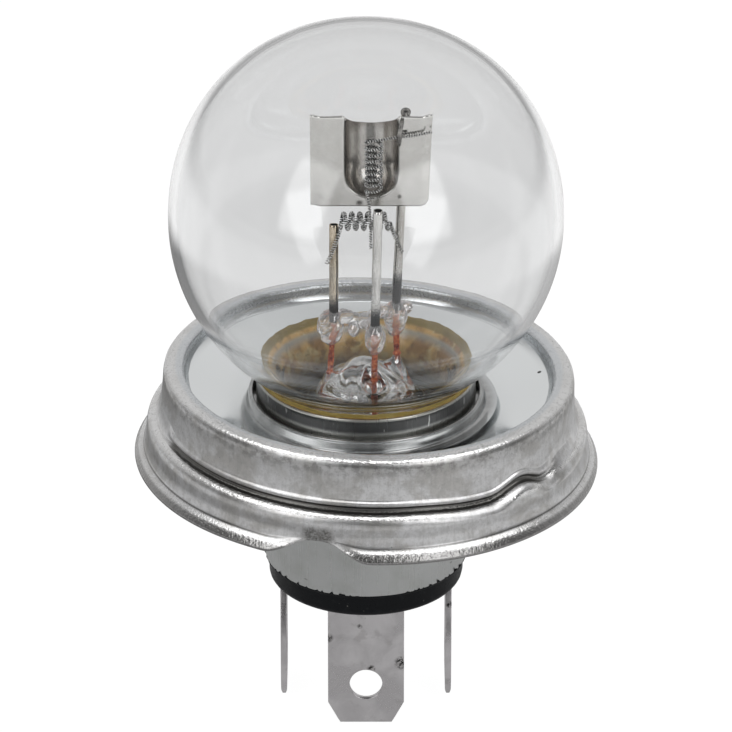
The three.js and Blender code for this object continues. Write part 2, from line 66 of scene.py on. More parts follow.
MM = 0.001
SEAT = 4.75  # from the plane under the flange to the seating ledge, where the frame's z is 0

glass_low, glass_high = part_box("glass_envelope")
GLASS_RADIUS = (glass_high.x - glass_low.x) / 2 / MM
GLASS_TOP = glass_high.z / MM + SEAT
LEAN = atan2(-(glass_low.x + glass_high.x) / 2 / MM, GLASS_TOP - GLASS_RADIUS)
GLASS_CENTRE = GLASS_TOP / cos(LEAN) - GLASS_RADIUS
FLANGE_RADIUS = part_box("prefocus_ring")[1].x / MM
FLANGE_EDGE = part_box("prefocus_ring")[0].z / MM + SEAT

RING = Matrix.Translation((0, 0, -SEAT * MM)) @ Matrix.Scale(MM, 4)
LAMP = Matrix.Translation((0, 0, -SEAT * MM)) @ Matrix.Rotation(-LEAN, 4, "Y") @ Matrix.Scale(MM, 4)

# ---- Driving dimensions, mm ----

SHEET = 0.5
DRUM_RADIUS = 21.4
RIM_TOP = 10.2
RIM_ROLL = 0.84
DISH_INNER = (11.75, 6.4)
DISH_OUTER = (17.3, 8.4)
DISH_DOT = (16.6, 3.6, 8.3)
NOTCH_AZIMUTH, NOTCH_HALF_WIDTH, NOTCH_SIDE = -102.5, 13.5, 12.5  # degrees, as in all azimuths
GROOVE_FROM, GROOVE_TO = -163, -25
LIP_ROOT, GROOVE_IN, GROOVE_BACK, GROOVE_OUT = 3, 8, 10, 11  # corners in the list of ring_section

SLEEVE_RADIUS, SLEEVE_TOP, SLEEVE_FOOT_RADIUS = 11.4, 7.9, 12.7
SHELL_RADIUS, SHELL_TOP = 10.6, 9.86
SHELL_FOOT_RADIUS, SHELL_BOTTOM, SHELL_WALL = 9.85, -9.75, 0.4
NECK_RADIUS, NECK_BOTTOM, GLASS_WALL = 8.9, 3.4, 0.8
NECK_TOP_RADIUS, NECK_TOP = 10.1, 10.14  # where the neck meets the bulb
CROWN_POWER = 2.12

INSULATOR_RADIUS, INSULATOR_BOTTOM = 9.46, -12.2
BLADE_WIDTH, BLADE_SHEET, BLADE_RADIUS = 7.4, 0.6, 8.07
BLADE_BOTTOM, BLADE_TOP = -24.6, -12.1
BLADE_CORNER = (1.2, 2.3)
BLADE_HOLE_RADIUS, BLADE_HOLE_HEIGHT = 1.6, 4.3
BLADES = {"left": 180, "front": -90, "right": 0}
BLADE_SMUDGES = (
    ((-3.75, -8.1, -15.1), 0.75), ((3.5, -8.1, -17.9), 0.95), ((0.5, -8.1, -18.55), 0.6),
    ((-0.6, -8.1, -13.8), 0.45), ((-8.0, 2.2, -14.6), 0.7), ((8.2, -3.6, -14.0), 0.5),
)

POST_RADIUS, POST_BORE = 0.44, 0.32
POST_SEAMS = {"left": (-38, 34), "front": (-12, 14), "back": (-128, 16)}  # azimuth and width, degrees
LEAD_RADIUS = 0.29
STEMS = {"left": (-3.6, 0, 8.2), "front": (0.78, -2.8, 8.8), "back": (3.05, 1.95, 9.4)}
BEAD_POINTS = {"left": (-3.12, 0, 14.9), "front": (0.87, -2.75, 15), "back": (2.88, 1.9, 15)}
POST_TOPS = {"left": (-3.07, 0, 25.4), "front": (1.14, -2.4, 28), "back": (3.75, 1.3, 36.6)}
LEAD_OF_BLADE = {"left": "left", "front": "front", "right": "back"}

COIL_RADIUS = 0.74
STRAND_PITCH = 0.24  # of the fine coil that the filament's wire is wound into
STRAND_WIRE = 0.06

SHIELD_PLANE, SHIELD_SHEET = 0.6, 0.2
SHIELD_LEFT, SHIELD_RIGHT = -5.3, 6.3
SHIELD_BOTTOM, SHIELD_TOP = 27.1, 36.4
FLAP_WIDTH, FLAP_BACK = 0.8, 0.35
CUP_CENTRE, CUP_RADIUS, CUP_DEPTH, CUP_FLOOR, CUP_LIP_DROP = 0.52, 2.65, 2.6, 27.9, 1.8

BOX_DISTANCE, BOX_RADIANCE = 0.7, 2.1
SEEN_THROUGH_GLASS = 0.745  # how bright the backdrop is through the bulb


# ---- Shapes ----

def smooth(t):
    """A soft step: 0 up to t = 0, 1 from t = 1."""
    t = np.clip(t, 0, 1)
    return t * t * (3 - 2 * t)


def bell(value, centre, width):
    """1 at the centre, falling away on both sides over about a width."""
    return np.exp(-(((value - centre) / width) ** 2))


def ripple(t, pitch, turn=0.0):
    """An uneven wave from -1 to 1 along t, a few pitches long before it nearly repeats."""
    k = 2 * pi * t / pitch
    return (np.sin(k + turn) + np.sin(1.618 * k + 2.1 * turn + 1) + np.sin(0.731 * k + 3.7 * turn + 2)) / 3


def columns(*values):
    """Points from their coordinates, each of which is a number or an array."""
    return np.stack(np.broadcast_arrays(*values), axis=-1)


def full_turn(steps):
    return np.linspace(0, 2 * pi, steps, endpoint=False)


def polar(r, z, a):
    """Points at radius r, height z and angle a."""
    return columns(r * np.cos(a), r * np.sin(a), z)


def unit(v):
    return v / np.maximum(np.linalg.norm(v, axis=-1, keepdims=True), 1e-12)


def rounded(corners, closed, steps=4):
    """The outline through (r, z, cut) corners, each turned by a curve that starts cut before it."""
    corners = np.asarray(corners, float)
    point, cut = corners[..., :2], corners[..., 2:]
    to_last = np.roll(point, 1, axis=-2) - point
    to_next = np.roll(point, -1, axis=-2) - point
    room = np.minimum(np.linalg.norm(to_last, axis=-1), np.linalg.norm(to_next, axis=-1))[..., None]
    cut = np.minimum(cut, 0.48 * room)
    if not closed:
        cut[..., 0, :] = cut[..., -1, :] = 0
    start, end = point + unit(to_last) * cut, point + unit(to_next) * cut
    turns = [
        (1 - t) ** 2 * start + 2 * t * (1 - t) * point + t * t * end for t in np.linspace(0, 1, steps + 1)
    ]
    curve = np.stack(turns, axis=-2)
    return curve.reshape(*curve.shape[:-3], -1, 2)


def grid(points, wrap_u=False, wrap_v=False):
    """Vertices and quads through points[u][v]."""
    u, v = points.shape[:2]
    i = np.arange(u if wrap_u else u - 1)[:, None]
    j = np.arange(v if wrap_v else v - 1)[None, :]
    below, beside = (i + 1) % u, (j + 1) % v
    quads = columns(i * v + j, below * v + j, below * v + beside, i * v + beside)
    return points.reshape(-1, 3), quads.reshape(-1, 4)


def joined(parts):
    vertices, faces, count = [], [], 0
    for part_vertices, part_faces in parts:
        vertices.append(part_vertices)
        faces.append(part_faces + count)
        count += len(part_vertices)
    return np.concatenate(vertices), np.concatenate(faces)


def turned(profile, steps, closed=False):
    """A profile of (r, z) points turned about the axis."""
    r, z = profile.T[:, None]
    return grid(polar(r, z, full_turn(steps)[:, None]), wrap_u=True, wrap_v=closed)


def spline(points, per_span):
    """A smooth line through the points."""
    p = np.asarray(points, float)
    p = np.concatenate([[2 * p[0] - p[1]], p, [2 * p[-1] - p[-2]]])
    t = np.linspace(0, 1, per_span, endpoint=False)[:, None]
    line = []
    for a, b, c, d in zip(p, p[1:], p[2:], p[3:]):
        line.append(b + 0.5 * t * (c - a + t * (2 * a - 5 * b + 4 * c - d + t * (3 * (b - c) + d - a))))
    return np.concatenate(line + [p[-2:-1]])


def evenly(line, step):
    """The same line with points step apart."""
    run = np.concatenate([[0], np.cumsum(np.linalg.norm(np.diff(line, axis=0), axis=1))])
    at = np.linspace(0, run[-1], max(int(run[-1] / step), 2))
    return np.stack([np.interp(at, run, line[:, k]) for k in range(3)], axis=-1)


def frames(line):
    """Two unit vectors across the line at each point, carried along it without twist."""
    along = unit(np.gradient(line, axis=0))
    side = np.zeros_like(line)
    helper = (0, 1, 0) if abs(along[0][1]) < 0.9 else (1, 0, 0)
    side[0] = unit(np.cross(along[0], helper))
    for i in range(1, len(line)):
        side[i] = unit(side[i - 1] - along[i] * np.dot(side[i - 1], along[i]))
    return side, np.cross(along, side)


def swept(line, outline, scale=1.0):
    """A closed outline of (a, b) points carried along a line and closed off at both ends."""
    scale = np.concatenate([[0], scale * np.ones(len(line)), [0]])
    side, up = frames(np.concatenate([line[:1] * 2 - line[1:2], line, line[-1:] * 2 - line[-2:-1]]))
    line = np.concatenate([line[:1], line, line[-1:]])
    outline = np.asarray(outline, float)
    a = outline[None, :, 0] * scale[:, None]
    b = outline[None, :, 1] * scale[:, None]
    return grid(line[:, None] + a[..., None] * side[:, None] + b[..., None] * up[:, None], wrap_v=True)


def circle(radius, sides):
    a = full_turn(sides)
    return columns(radius * np.cos(a), radius * np.sin(a))


def wound(line, radius, pitch, per_turn):
    """A helix round a line, its lead pitch measured along the line."""
    line = evenly(line, pitch / per_turn)
    side, up = frames(line)
    a = (np.arange(len(line)) * 2 * pi / per_turn)[:, None]
    return line + radius * (np.cos(a) * side + np.sin(a) * up)


def ball(centre, radii, steps=24):
    a = np.linspace(-pi / 2, pi / 2, steps // 2 + 1)
    vertices, faces = turned(columns(np.cos(a), np.sin(a)), steps)
    return vertices * radii + centre, faces


# ---- Pieces ----

def added(name, data):
    """A new object in the scene."""
    obj = bpy.data.objects.new(name, data)
    bpy.context.scene.collection.objects.link(obj)
    return obj


def evaluated(obj):
    """The object's shape, with its modifiers applied, as a new mesh."""
    graph = bpy.context.evaluated_depsgraph_get()
    return bpy.data.meshes.new_from_object(obj.evaluated_get(graph), depsgraph=graph)


def make(name, shape, place=LAMP, **marks):
    """A mesh object from a shape in mm, put into the frame by place, with marks of 0 to 1 on its points."""
    vertices, faces = shape
    matrix = np.array(place)
    mesh = bpy.data.meshes.new(name)
    mesh.from_pydata((vertices @ matrix[:3, :3].T + matrix[:3, 3]).tolist(), [], faces.tolist())
    for key, values in marks.items():
        mark = mesh.attributes.new(key, "FLOAT", "POINT")
        mark.data.foreach_set("value", np.asarray(values, np.float32).ravel())
    work = bmesh.new()
    work.from_mesh(mesh)
    bmesh.ops.remove_doubles(work, verts=work.verts, dist=1e-7)
    bmesh.ops.dissolve_degenerate(work, edges=work.edges, dist=1e-8)
    bmesh.ops.recalc_face_normals(work, faces=work.faces)
    work.to_mesh(mesh)
    work.free()
    mesh.shade_smooth()
    return added(name, mesh)


def settle(obj):
    """Applies the object's modifiers to its mesh."""
    mesh = evaluated(obj)
    obj.modifiers.clear()
    obj.data = mesh
    return obj


def wobble(mesh, depth, wave):
    """Moves each vertex along its normal by a wave of its place, all in mm."""
    places = np.zeros(len(mesh.vertices) * 3, np.float32)
    normals = np.zeros_like(places)
    mesh.vertices.foreach_get("co", places)
    mesh.vertex_normals.foreach_get("vector", normals)
    places, normals = places.reshape(-1, 3), normals.reshape(-1, 3)
    shift = depth * wave(*(places / MM).T)
    mesh.vertices.foreach_set("co", (places + normals * shift[:, None] * MM).ravel())
    mesh.update()


def even_shading(obj):
    weights = obj.modifiers.new("even_shading", "WEIGHTED_NORMAL")
    weights.keep_sharp = True
    return obj


def install(obj, material, slot, *nodes):
    """The piece gets its finish, rides on the one body and stands for its CAD nodes."""
    obj.data.materials.clear()
    obj.data.materials.append(material)
    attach(obj, "root")
    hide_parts(*nodes)
    return obj


# ---- Finishes ----

class Nodes:
    """A node tree in the making. Each call adds a node and returns the socket it gives."""

    def __init__(self, tree):
        self.tree = tree
        self.tree.nodes.clear()

    def add(self, kind, inputs=None, out=0, **settings):
        node = self.tree.nodes.new("ShaderNode" + kind)
        for key, value in settings.items():
            setattr(node, key, value)
        for key, value in (inputs or {}).items():
            if isinstance(value, bpy.types.NodeSocket):
                self.tree.links.new(value, node.inputs[key])
            else:
                node.inputs[key].default_value = value
        return node.outputs[out] if out is not None else node

    def seen(self):
        """1 along the line of sight, also on through clear glass; 0 for light that falls or is mirrored."""
        path = self.add("LightPath").node.outputs
        straight = self.most(path["Is Camera Ray"], path["Is Transmission Ray"])
        bounces = self.math("ADD", path["Glossy Depth"], path["Diffuse Depth"])
        return self.both(straight, self.math("LESS_THAN", bounces, 0.5))

    def backdrop(self):
        """White, and pale grey where it is seen through glass."""
        return self.blend(self.add("LightPath", out="Is Camera Ray"), SEEN_THROUGH_GLASS, 1.0)

    def math(self, operation, a, b=0.0, c=0.0):
        return self.add("Math", {0: a, 1: b, 2: c}, operation=operation)

    def span(self, value, low, high, to_low=0.0, to_high=1.0):
        fields = {"Value": value, "From Min": low, "From Max": high, "To Min": to_low, "To Max": to_high}
        return self.add("MapRange", fields, interpolation_type="SMOOTHSTEP")

    def near(self, value, centre, reach):
        """1 where value is at centre, falling to 0 a reach away."""
        return self.span(self.math("ABSOLUTE", self.math("SUBTRACT", value, centre)), 0, reach, 1, 0)

    def chain(self, operation, values):
        """One operation over two or more values in a row."""
        made = values[0]
        for value in values[1:]:
            made = self.math(operation, made, value)
        return made

    def both(self, *factors):
        return self.chain("MULTIPLY", factors)

    def most(self, *values):
        return self.chain("MAXIMUM", values)

    def rest(self, share):
        return self.math("SUBTRACT", 1.0, share)

    def split(self, vector):
        return self.add("SeparateXYZ", {"Vector": vector}).node.outputs

    def vector(self, x, y, z):
        return self.add("CombineXYZ", {"X": x, "Y": y, "Z": z})

    def noise(self, vector, scale, detail=3.0, roughness=0.55, distortion=0.0):
        fields = {"Vector": vector, "Scale": scale, "Detail": detail, "Roughness": roughness}
        return self.add("TexNoise", {**fields, "Distortion": distortion})

    def spots(self, vector, scale, size):
        """Separate round spots: 1 in the middle of each."""
        distance = self.add("TexVoronoi", {"Vector": vector, "Scale": scale, "Randomness": 1.0})
        return self.span(distance, 0, size, 1, 0)

    def mix(self, factor, a, b):
        fields = {0: factor, 6: self.colour(a), 7: self.colour(b)}
        return self.add("Mix", fields, out=2, data_type="RGBA")

    @staticmethod
    def colour(value):
        """A socket, or the four numbers of a colour or of a grey given by its brightness."""
        if isinstance(value, bpy.types.NodeSocket):
            return value
        return (*value, 1.0) if isinstance(value, tuple) else (value, value, value, 1.0)

    def blend(self, factor, a, b):
        """A number between a and b."""
        return self.math("ADD", self.both(factor, b), self.both(self.rest(factor), a))

    def emission(self, strength):
        return self.add("Emission", {"Color": (1, 1, 1, 1), "Strength": strength})

    def either(self, factor, a, b):
        """The first shader where factor is 0 and the second where it is 1."""
        return self.add("MixShader", {0: factor, 1: a, 2: b})


class Finish(Nodes):
    """A material, with its base colour so far and the place in mm: point, x, y, z, angle and radius."""

    def __init__(self, name, place=None, base=None):
        self.base = base
        self.material = bpy.data.materials.new(name)
        self.material.use_nodes = True
        super().__init__(self.material.node_tree)
        self.out = self.tree.nodes.new("ShaderNodeOutputMaterial")
        if place is not None:
            coordinate = self.add("TexCoord", out="Object")
            fields = {"Vector": coordinate, "Location": place.translation, "Rotation": place.to_euler()}
            self.point = self.add("Mapping", {**fields, "Scale": (MM,) * 3}, vector_type="TEXTURE")
            self.x, self.y, self.z = self.split(self.point)
            self.angle = self.math("ARCTAN2", self.y, self.x)
            across = self.math("ADD", self.both(self.x, self.x), self.both(self.y, self.y))
            self.radius = self.math("SQRT", across)

    def around(self, arc_scale, height_scale):
        """Coordinates that run round the axis and up it, each at its own scale."""
        around = self.both(self.math("SINE", self.angle), arc_scale)
        across = self.both(self.math("COSINE", self.angle), arc_scale)
        return self.vector(around, across, self.both(self.z, height_scale))

    def stretched(self, x, y, z):
        """The place with each coordinate multiplied by its own scale."""
        return self.add("VectorMath", {0: self.point, 1: (x, y, z)}, operation="MULTIPLY")

    def patches(self, low, high, *noise, most=1.0):
        """Uneven patches: 0 where the noise is under low and most where it is over high."""
        return self.span(self.noise(self.point, *noise), low, high, 0, most)

    def marked(self, name):
        return self.add("Attribute", out="Fac", attribute_name=name)

    def mark(self, x, y, z, reach):
        """1 at a place, fading to 0 a reach away."""
        offset = self.add("VectorMath", {0: self.point, 1: (x, y, z)}, out="Value", operation="DISTANCE")
        return self.span(offset, 0.4 * reach, reach, 1, 0)

    def bump(self, height, depth_mm, strength=1.0, normal=None):
        fields = {"Height": height, "Distance": depth_mm * MM, "Strength": strength}
        if normal is not None:
            fields["Normal"] = normal
        return self.add("Bump", fields)

    def over(self, colour, *shares):
        """Lays a colour over the base by the product of the shares."""
        self.base = self.mix(self.both(*shares), self.base, colour)

    def principled(self, roughness, metallic, normal, **more):
        fields = {"Base Color": self.colour(self.base), "Normal": normal, "Roughness": roughness}
        fields["Metallic"] = metallic
        for key, value in more.items():
            fields[key.replace("_", " ")] = value
        return self.add("BsdfPrincipled", fields)

    def finished(self, *fields, **more):
        return self.done(self.principled(*fields, **more))

    def done(self, shader):
        self.tree.links.new(shader, self.out.inputs["Surface"])
        return self.material


def ring_finish():
    """Satin drawn steel: faint upright scratches on the walls, burred edges, a bright dish. Painted
    highlights lighten the rolled edges; painted shade darkens the groove, the crease above the flange's lip
    and the band under the rim's roll.
    """
    f = Finish("ring_steel", RING, (0.66, 0.66, 0.665))
    streaks = f.noise(f.around(75, 0.14), 1.0, 4, 0.75)
    drag = f.noise(f.around(3.2, 5.5), 1.0, 4, 0.7)
    speckle = f.noise(f.point, 4.5, 5, 0.8)
    stains = f.patches(0.44, 0.62, 0.22, 4, 0.65, 0.5)
    dish = f.both(f.span(f.radius, 18.0, 17.4), f.span(f.z, 5.6, 6.0))
    inside = f.both(f.span(f.radius, 18.9, 18.5), f.span(f.z, 8.3, 8.7))
    edges = f.most(f.near(f.z, 4.8, 0.4), f.near(f.z, 1.25, 0.8), f.near(f.z, 10.1, 0.4))
    under_rim = f.both(f.span(f.z, 8.2, 9.4), f.span(f.z, 9.95, 9.6), f.span(f.radius, 19.3, 19.5))
    plain = f.rest(dish)
    f.over((0.48, 0.47, 0.455), stains, plain, 0.9)
    mottle = f.patches(0.42, 0.62, 1.3, 5, 0.75)
    f.over((0.34, 0.335, 0.325), mottle, plain, 0.35)
    f.over((0.27, 0.265, 0.26), f.span(streaks, 0.5, 0.7), plain, 0.2)
    # Painted highlight: the lip, the ledge's shoulder and the rim's roll are made lighter where they catch
    # the light.
    f.over((0.84, 0.835, 0.83), edges, plain, 0.75)
    f.over((0.22, 0.215, 0.21), f.span(speckle, 0.54, 0.66), plain, f.blend(edges, 0.35, 0.8))
    # Painted shade in the crease where the flange's lip meets the wall.
    under_lip = f.both(f.span(f.z, FLANGE_EDGE + 0.95, FLANGE_EDGE + 0.65), f.span(f.radius, 21.4, 21.6))
    f.over((0.2, 0.195, 0.19), under_lip, 0.7)
    # Painted shade: a dark band on the wall just under the rim's roll.
    f.over((0.2, 0.195, 0.19), under_rim, f.span(mottle, 0, 1, 0.35, 0.75))
    # Painted shade in the groove and in the crease above the flange's lip, from the marks made with the ring.
    f.over((0.11, 0.107, 0.1), f.marked("grime"), 0.92)
    f.over((0.6, 0.63, 0.66), inside, 0.6)
    f.over((0.86, 0.88, 0.885), dish)
    smudge = f.most(f.mark(-5.2, -20.8, 2.75, 1.2), f.mark(-4.0, -21.0, 2.75, 1.1))
    f.over((0.09, 0.085, 0.075), smudge, f.span(speckle, 0.3, 0.6), 0.8)
    f.over(0.03, f.mark(*DISH_DOT, 0.28))
    rough = f.blend(edges, f.span(speckle, 0.3, 0.7, 0.27, 0.36), 0.18)
    near_sleeve = f.span(f.radius, 15.5, 12.5)
    rough = f.blend(dish, rough, f.blend(near_sleeve, 0.07, 0.22))
    scratched = f.bump(streaks, 0.012, f.blend(dish, 0.6, 0.02))
    dragged = f.bump(drag, 0.012, f.blend(dish, 0.4, 0.02), scratched)
    pitted = f.bump(speckle, 0.02, f.both(plain, 0.6), dragged)
    burred = f.bump(f.noise(f.point, 3.6, 1, 0.5), 0.06, f.both(edges, plain), pitted)
    return f.finished(rough, 1.0, burred)


def shell_finish():
    """Plated steel that is darker above the ring than below it, with long upright scratches, painted lighter
    in the shaded gap inside the sleeve, and with a painted highlight along its top edge.
    """
    f = Finish("cap_steel", LAMP, (0.62, 0.63, 0.625))
    streaks = f.noise(f.around(60, 0.12), 1.0, 4, 0.7)
    scratch = f.span(f.noise(f.around(24, 0.5), 1.0, 2, 0.4), 0.68, 0.72)
    upper = f.span(f.z, 2.2, 3.8)
    top_edge = f.span(f.z, SHELL_TOP - 0.35, SHELL_TOP - 0.1)
    f.over((0.48, 0.495, 0.47), f.patches(0.42, 0.7, 0.3, 4, 0.6), 0.45)
    f.over(0.06, upper)
    # Painted light: below the sleeve's top the shell is made lighter, though the gap between sleeve and shell
    # lies in shade.
    f.over((0.5, 0.5, 0.48), upper, f.span(f.z, 8.6, 7.9))
    f.over((0.7, 0.7, 0.68), scratch, upper, 0.35)
    # Painted highlight along the shell's top edge.
    f.over((0.6, 0.59, 0.55), top_edge, 0.8)
    speck = f.spots(f.stretched(0.5, 1, 2.0), 0.34, 0.1)
    f.over(0.05, speck, f.rest(upper))
    rough = f.span(streaks, 0.3, 0.7, 0.26, 0.36)
    return f.finished(rough, 1.0, f.bump(streaks, 0.006, 0.5))


def sleeve_finish():
    """Smooth steel, darker than the ring's, painted lighter where its foot flares into the dish."""
    f = Finish("sleeve_steel", LAMP, (0.36, 0.362, 0.36))
    clouds = f.noise(f.point, 0.6, 3, 0.5)
    foot = f.span(f.radius, SLEEVE_RADIUS + 0.35, SLEEVE_FOOT_RADIUS)
    f.over((0.45, 0.452, 0.45), f.span(clouds, 0.35, 0.65))
    # Painted light: the foot is made lighter where it flares up and out into the bright dish.
    f.over((0.6, 0.615, 0.62), foot, 0.95)
    rough = f.blend(foot, f.span(clouds, 0.3, 0.7, 0.16, 0.22), 0.07)
    return f.finished(rough, 1.0, f.bump(clouds, 0.01, 0.3))


def glass_finish(name, tint, wave_depth, wave_scale, silver=0.0, milk=None):
    """Clear glass with a slightly uneven surface. Lamps shine through it without being bent."""
    f = Finish(name, LAMP, tint)
    waves = f.bump(f.noise(f.point, wave_scale, 2, 0.5), wave_depth)
    if milk:
        f.over(milk, f.patches(0.5, 0.62, 0.9, 2, 0.5))
    mirrored = f.span(f.noise(f.point, 0.55, 2, 0.5), 0.42, 0.58, 0.1 * silver, silver) if silver else 0.0
    glass = f.principled(0.0, mirrored, waves, Transmission_Weight=0.84 if milk else 1.0, IOR=1.48)
    clear = f.add("BsdfTransparent", {"Color": (0.92, 0.93, 0.93, 1)})
    shadow = f.add("LightPath", out="Is Shadow Ray")
    return f.done(f.either(shadow, glass, clear))


def cement_finish():
    """Baked basing cement: golden tan and brown, mottled, with painted shade at the bottom of the gap, grey
    next to the shell.
    """
    f = Finish("cement", LAMP, (0.9, 0.57, 0.2))
    clouds = f.noise(f.point, 0.4, 3, 0.55, 0.2)
    grains = f.noise(f.point, 9.0, 3, 0.7)
    f.over((0.47, 0.245, 0.075), f.span(clouds, 0.4, 0.62))
    f.over((0.92, 0.74, 0.36), f.patches(0.5, 0.66, 0.7, 3, 0.55, most=0.75))
    f.over((0.24, 0.13, 0.04), f.patches(0.55, 0.7, 1.2, 3, 0.5, most=0.6))
    # Painted shade: the cement is darkened towards the bottom, down in the gap between the neck and the
    # shell.
    f.over((0.05, 0.03, 0.012), f.span(f.z, 8.4, 5.0), 0.95)
    rim = f.both(f.span(f.radius, 9.15, 9.6), f.span(f.z, 9.75, 9.4))
    f.over((0.5, 0.51, 0.48), rim, 0.75)
    f.over((0.30, 0.225, 0.05), f.span(f.z, 9.85, 10.1), 0.85)
    f.over((0.16, 0.1, 0.04), f.span(grains, 0.55, 0.8, 0, 0.5))
    rough = f.span(grains, 0.3, 0.7, 0.55, 0.9)
    return f.finished(rough, 0.0, f.bump(grains, 0.08, 0.7))


def insulator_finish():
    """Black moulded resin, slightly glossy, with fine grey dust and a few chips."""
    f = Finish("insulator", LAMP, (0.008, 0.009, 0.0105))
    grain = f.noise(f.point, 5.0, 5, 0.7)
    dust = f.patches(0.52, 0.8, 1.1, 4, 0.7)
    specks = f.both(f.spots(f.point, 1.6, 0.16), f.patches(0.5, 0.6, 0.5))
    f.over((0.026, 0.028, 0.031), dust, 0.5)
    f.over((0.22, 0.22, 0.2), specks, 0.8)
    rough = f.span(grain, 0.3, 0.75, 0.26, 0.5)
    return f.finished(rough, 0.0, f.bump(grain, 0.03, 0.7), Specular_IOR_Level=0.13)


def terminal_finish():
    """Tinned sheet: fine rolling lines, soft grey stains, and black burrs and smudges by the edges."""
    f = Finish("terminal_plate", LAMP, (0.66, 0.64, 0.65))
    lines = f.noise(f.stretched(9.0, 9.0, 0.5), 1.0, 3, 0.6)
    clouds = f.noise(f.point, 0.3, 4, 0.6, 0.5)
    grit = f.noise(f.point, 3.2, 4, 0.75)
    specks = f.both(f.spots(f.point, 1.5, 0.13), f.patches(0.56, 0.66, 0.55, 2, 0.5))
    f.over((0.8, 0.78, 0.79), f.span(clouds, 0.35, 0.7))
    f.over((0.5, 0.48, 0.48), f.patches(0.54, 0.7, 0.7, 3, most=0.5))
    smudge = f.most(0.0, *[f.mark(*place, reach) for place, reach in BLADE_SMUDGES])
    dark = f.most(specks, f.both(f.span(grit, 0.44, 0.54), smudge))
    f.over((0.3, 0.28, 0.26), smudge, 0.35)
    f.over((0.02, 0.02, 0.018), dark)
    rough = f.blend(dark, f.span(clouds, 0.3, 0.7, 0.26, 0.38), 0.8)
    return f.finished(rough, 1.0, f.bump(lines, 0.005, 0.5))


def post_finish(name, bright, soot_from, soot_to, tan):
    """Nickel tube, stained by heat, sooty where it enters the glass, with painted shade inside its bore."""
    f = Finish(name, LAMP, bright)
    lines = f.noise(f.stretched(12.0, 12.0, 0.8), 1.0, 3, 0.6)
    speckle = f.noise(f.point, 6.0, 4, 0.7)
    edge = f.math("ADD", f.z, f.both(f.math("SUBTRACT", speckle, 0.5), 3.0))
    soot = f.span(edge, soot_from, soot_to)
    f.over(tan, f.span(lines, 0.35, 0.7))
    f.over((0.16, 0.13, 0.09), f.span(speckle, 0.62, 0.8, 0, 0.3))
    f.over((0.03, 0.034, 0.04), soot, 0.95)
    # Painted shade inside the tube's bore.
    f.over(0.006, f.marked("bore"))
    rough = f.blend(soot, f.span(speckle, 0.3, 0.7, 0.16, 0.28), 0.55)
    return f.finished(rough, 1.0, f.bump(speckle, 0.012, 0.4))


def copper_finish():
    """Red oxidised copper with brighter rubbed patches."""
    f = Finish("lead_copper", LAMP, (0.30, 0.03, 0.012))
    patches = f.noise(f.point, 2.0, 4, 0.6)
    f.over((0.72, 0.16, 0.05), f.span(patches, 0.38, 0.6))
    f.over((0.95, 0.42, 0.16), f.patches(0.56, 0.7, 4.0, 2, most=0.8))
    f.over((0.85, 0.42, 0.28), f.span(f.z, 12.2, 14.2, 0, 0.7))
    rough = f.span(patches, 0.3, 0.7, 0.25, 0.5)
    return f.finished(rough, 0.45, f.bump(patches, 0.03, 0.6))


def tungsten_finish():
    """Bright grey drawn tungsten."""
    f = Finish("tungsten", LAMP, (0.6, 0.6, 0.59))
    grain = f.noise(f.point, 4.5, 2, 0.5)
    f.over((0.85, 0.85, 0.84), f.span(grain, 0.4, 0.56))
    f.over(0.03, f.marked("shaded"))
    return f.finished(f.span(grain, 0.3, 0.7, 0.18, 0.3), 1.0, f.bump(grain, 0.004, 0.5))


def shield_finish():
    """Polished sheet with a faint rolled grain, heat-dark in the cup, with a weld spot, painted shade on the
    cup's walls, near its top and below it, and a painted highlight along the plate's top edge.
    """
    plane = SHIELD_PLANE
    f = Finish("shield_plate", LAMP, (0.6, 0.59, 0.565))
    grain = f.noise(f.stretched(7.0, 1, 0.6), 1.0, 4, 0.6)
    bands = f.noise(f.stretched(1.5, 0.7, 0.22), 1.0, 3, 0.6)
    clouds = f.noise(f.point, 0.5, 3, 0.5)
    weld = f.both(f.near(f.x, SHIELD_RIGHT - 3.1, 0.28), f.near(f.z, 28.1, 0.35))
    # Painted shade on the plate just under the cup's floor.
    shade_below_cup = f.both(f.near(f.x, CUP_CENTRE - 1.15, 0.5), f.near(f.z, 27.45, 0.4))
    cup = f.both(f.span(f.y, plane + 0.35, plane + 1.1), f.near(f.x, CUP_CENTRE, CUP_RADIUS + 0.8))
    f.over((0.68, 0.67, 0.645), f.span(clouds, 0.35, 0.7))
    f.over((0.5, 0.475, 0.45), cup, f.span(bands, 0.44, 0.54, 0.1, 0.95))
    wall = f.both(f.span(f.y, plane + 0.16, plane + 0.4), f.span(f.y, plane + 1.7, plane + 0.9))
    shade = f.both(f.span(f.z, 33.6, 35.0), f.span(f.y, plane + 0.2, plane + 0.9))
    from_middle = f.math("ABSOLUTE", f.math("SUBTRACT", f.x, CUP_CENTRE))
    dark = f.both(f.most(wall, shade), f.span(from_middle, CUP_RADIUS + 0.5, CUP_RADIUS + 0.2))
    # Painted shade on the cup's walls and near its top.
    f.over((0.33, 0.3, 0.275), dark, f.span(clouds, 0.3, 0.6, 0.75, 1))
    # A dark weld spot, and the painted shade below the cup.
    f.over((0.05, 0.045, 0.04), f.most(weld, shade_below_cup))
    # Painted highlight along the plate's top edge.
    f.over((0.9, 0.89, 0.86), f.span(f.z, SHIELD_TOP - 0.3, SHIELD_TOP - 0.1))
    rough = f.blend(cup, f.span(clouds, 0.3, 0.7, 0.12, 0.22), 0.24)
    return f.finished(rough, 1.0, f.bump(grain, 0.003, 0.4))


def solder_finish():
    """Dull grey solder with a grainy skin."""
    f = Finish("solder", LAMP, 0.4)
    grain = f.noise(f.point, 3.0, 4, 0.6)
    f.over(0.6, f.span(grain, 0.35, 0.7))
    return f.finished(f.span(grain, 0.3, 0.7, 0.3, 0.5), 1.0, f.bump(grain, 0.05, 0.6))


# ---- Ring, sleeve, shell ----

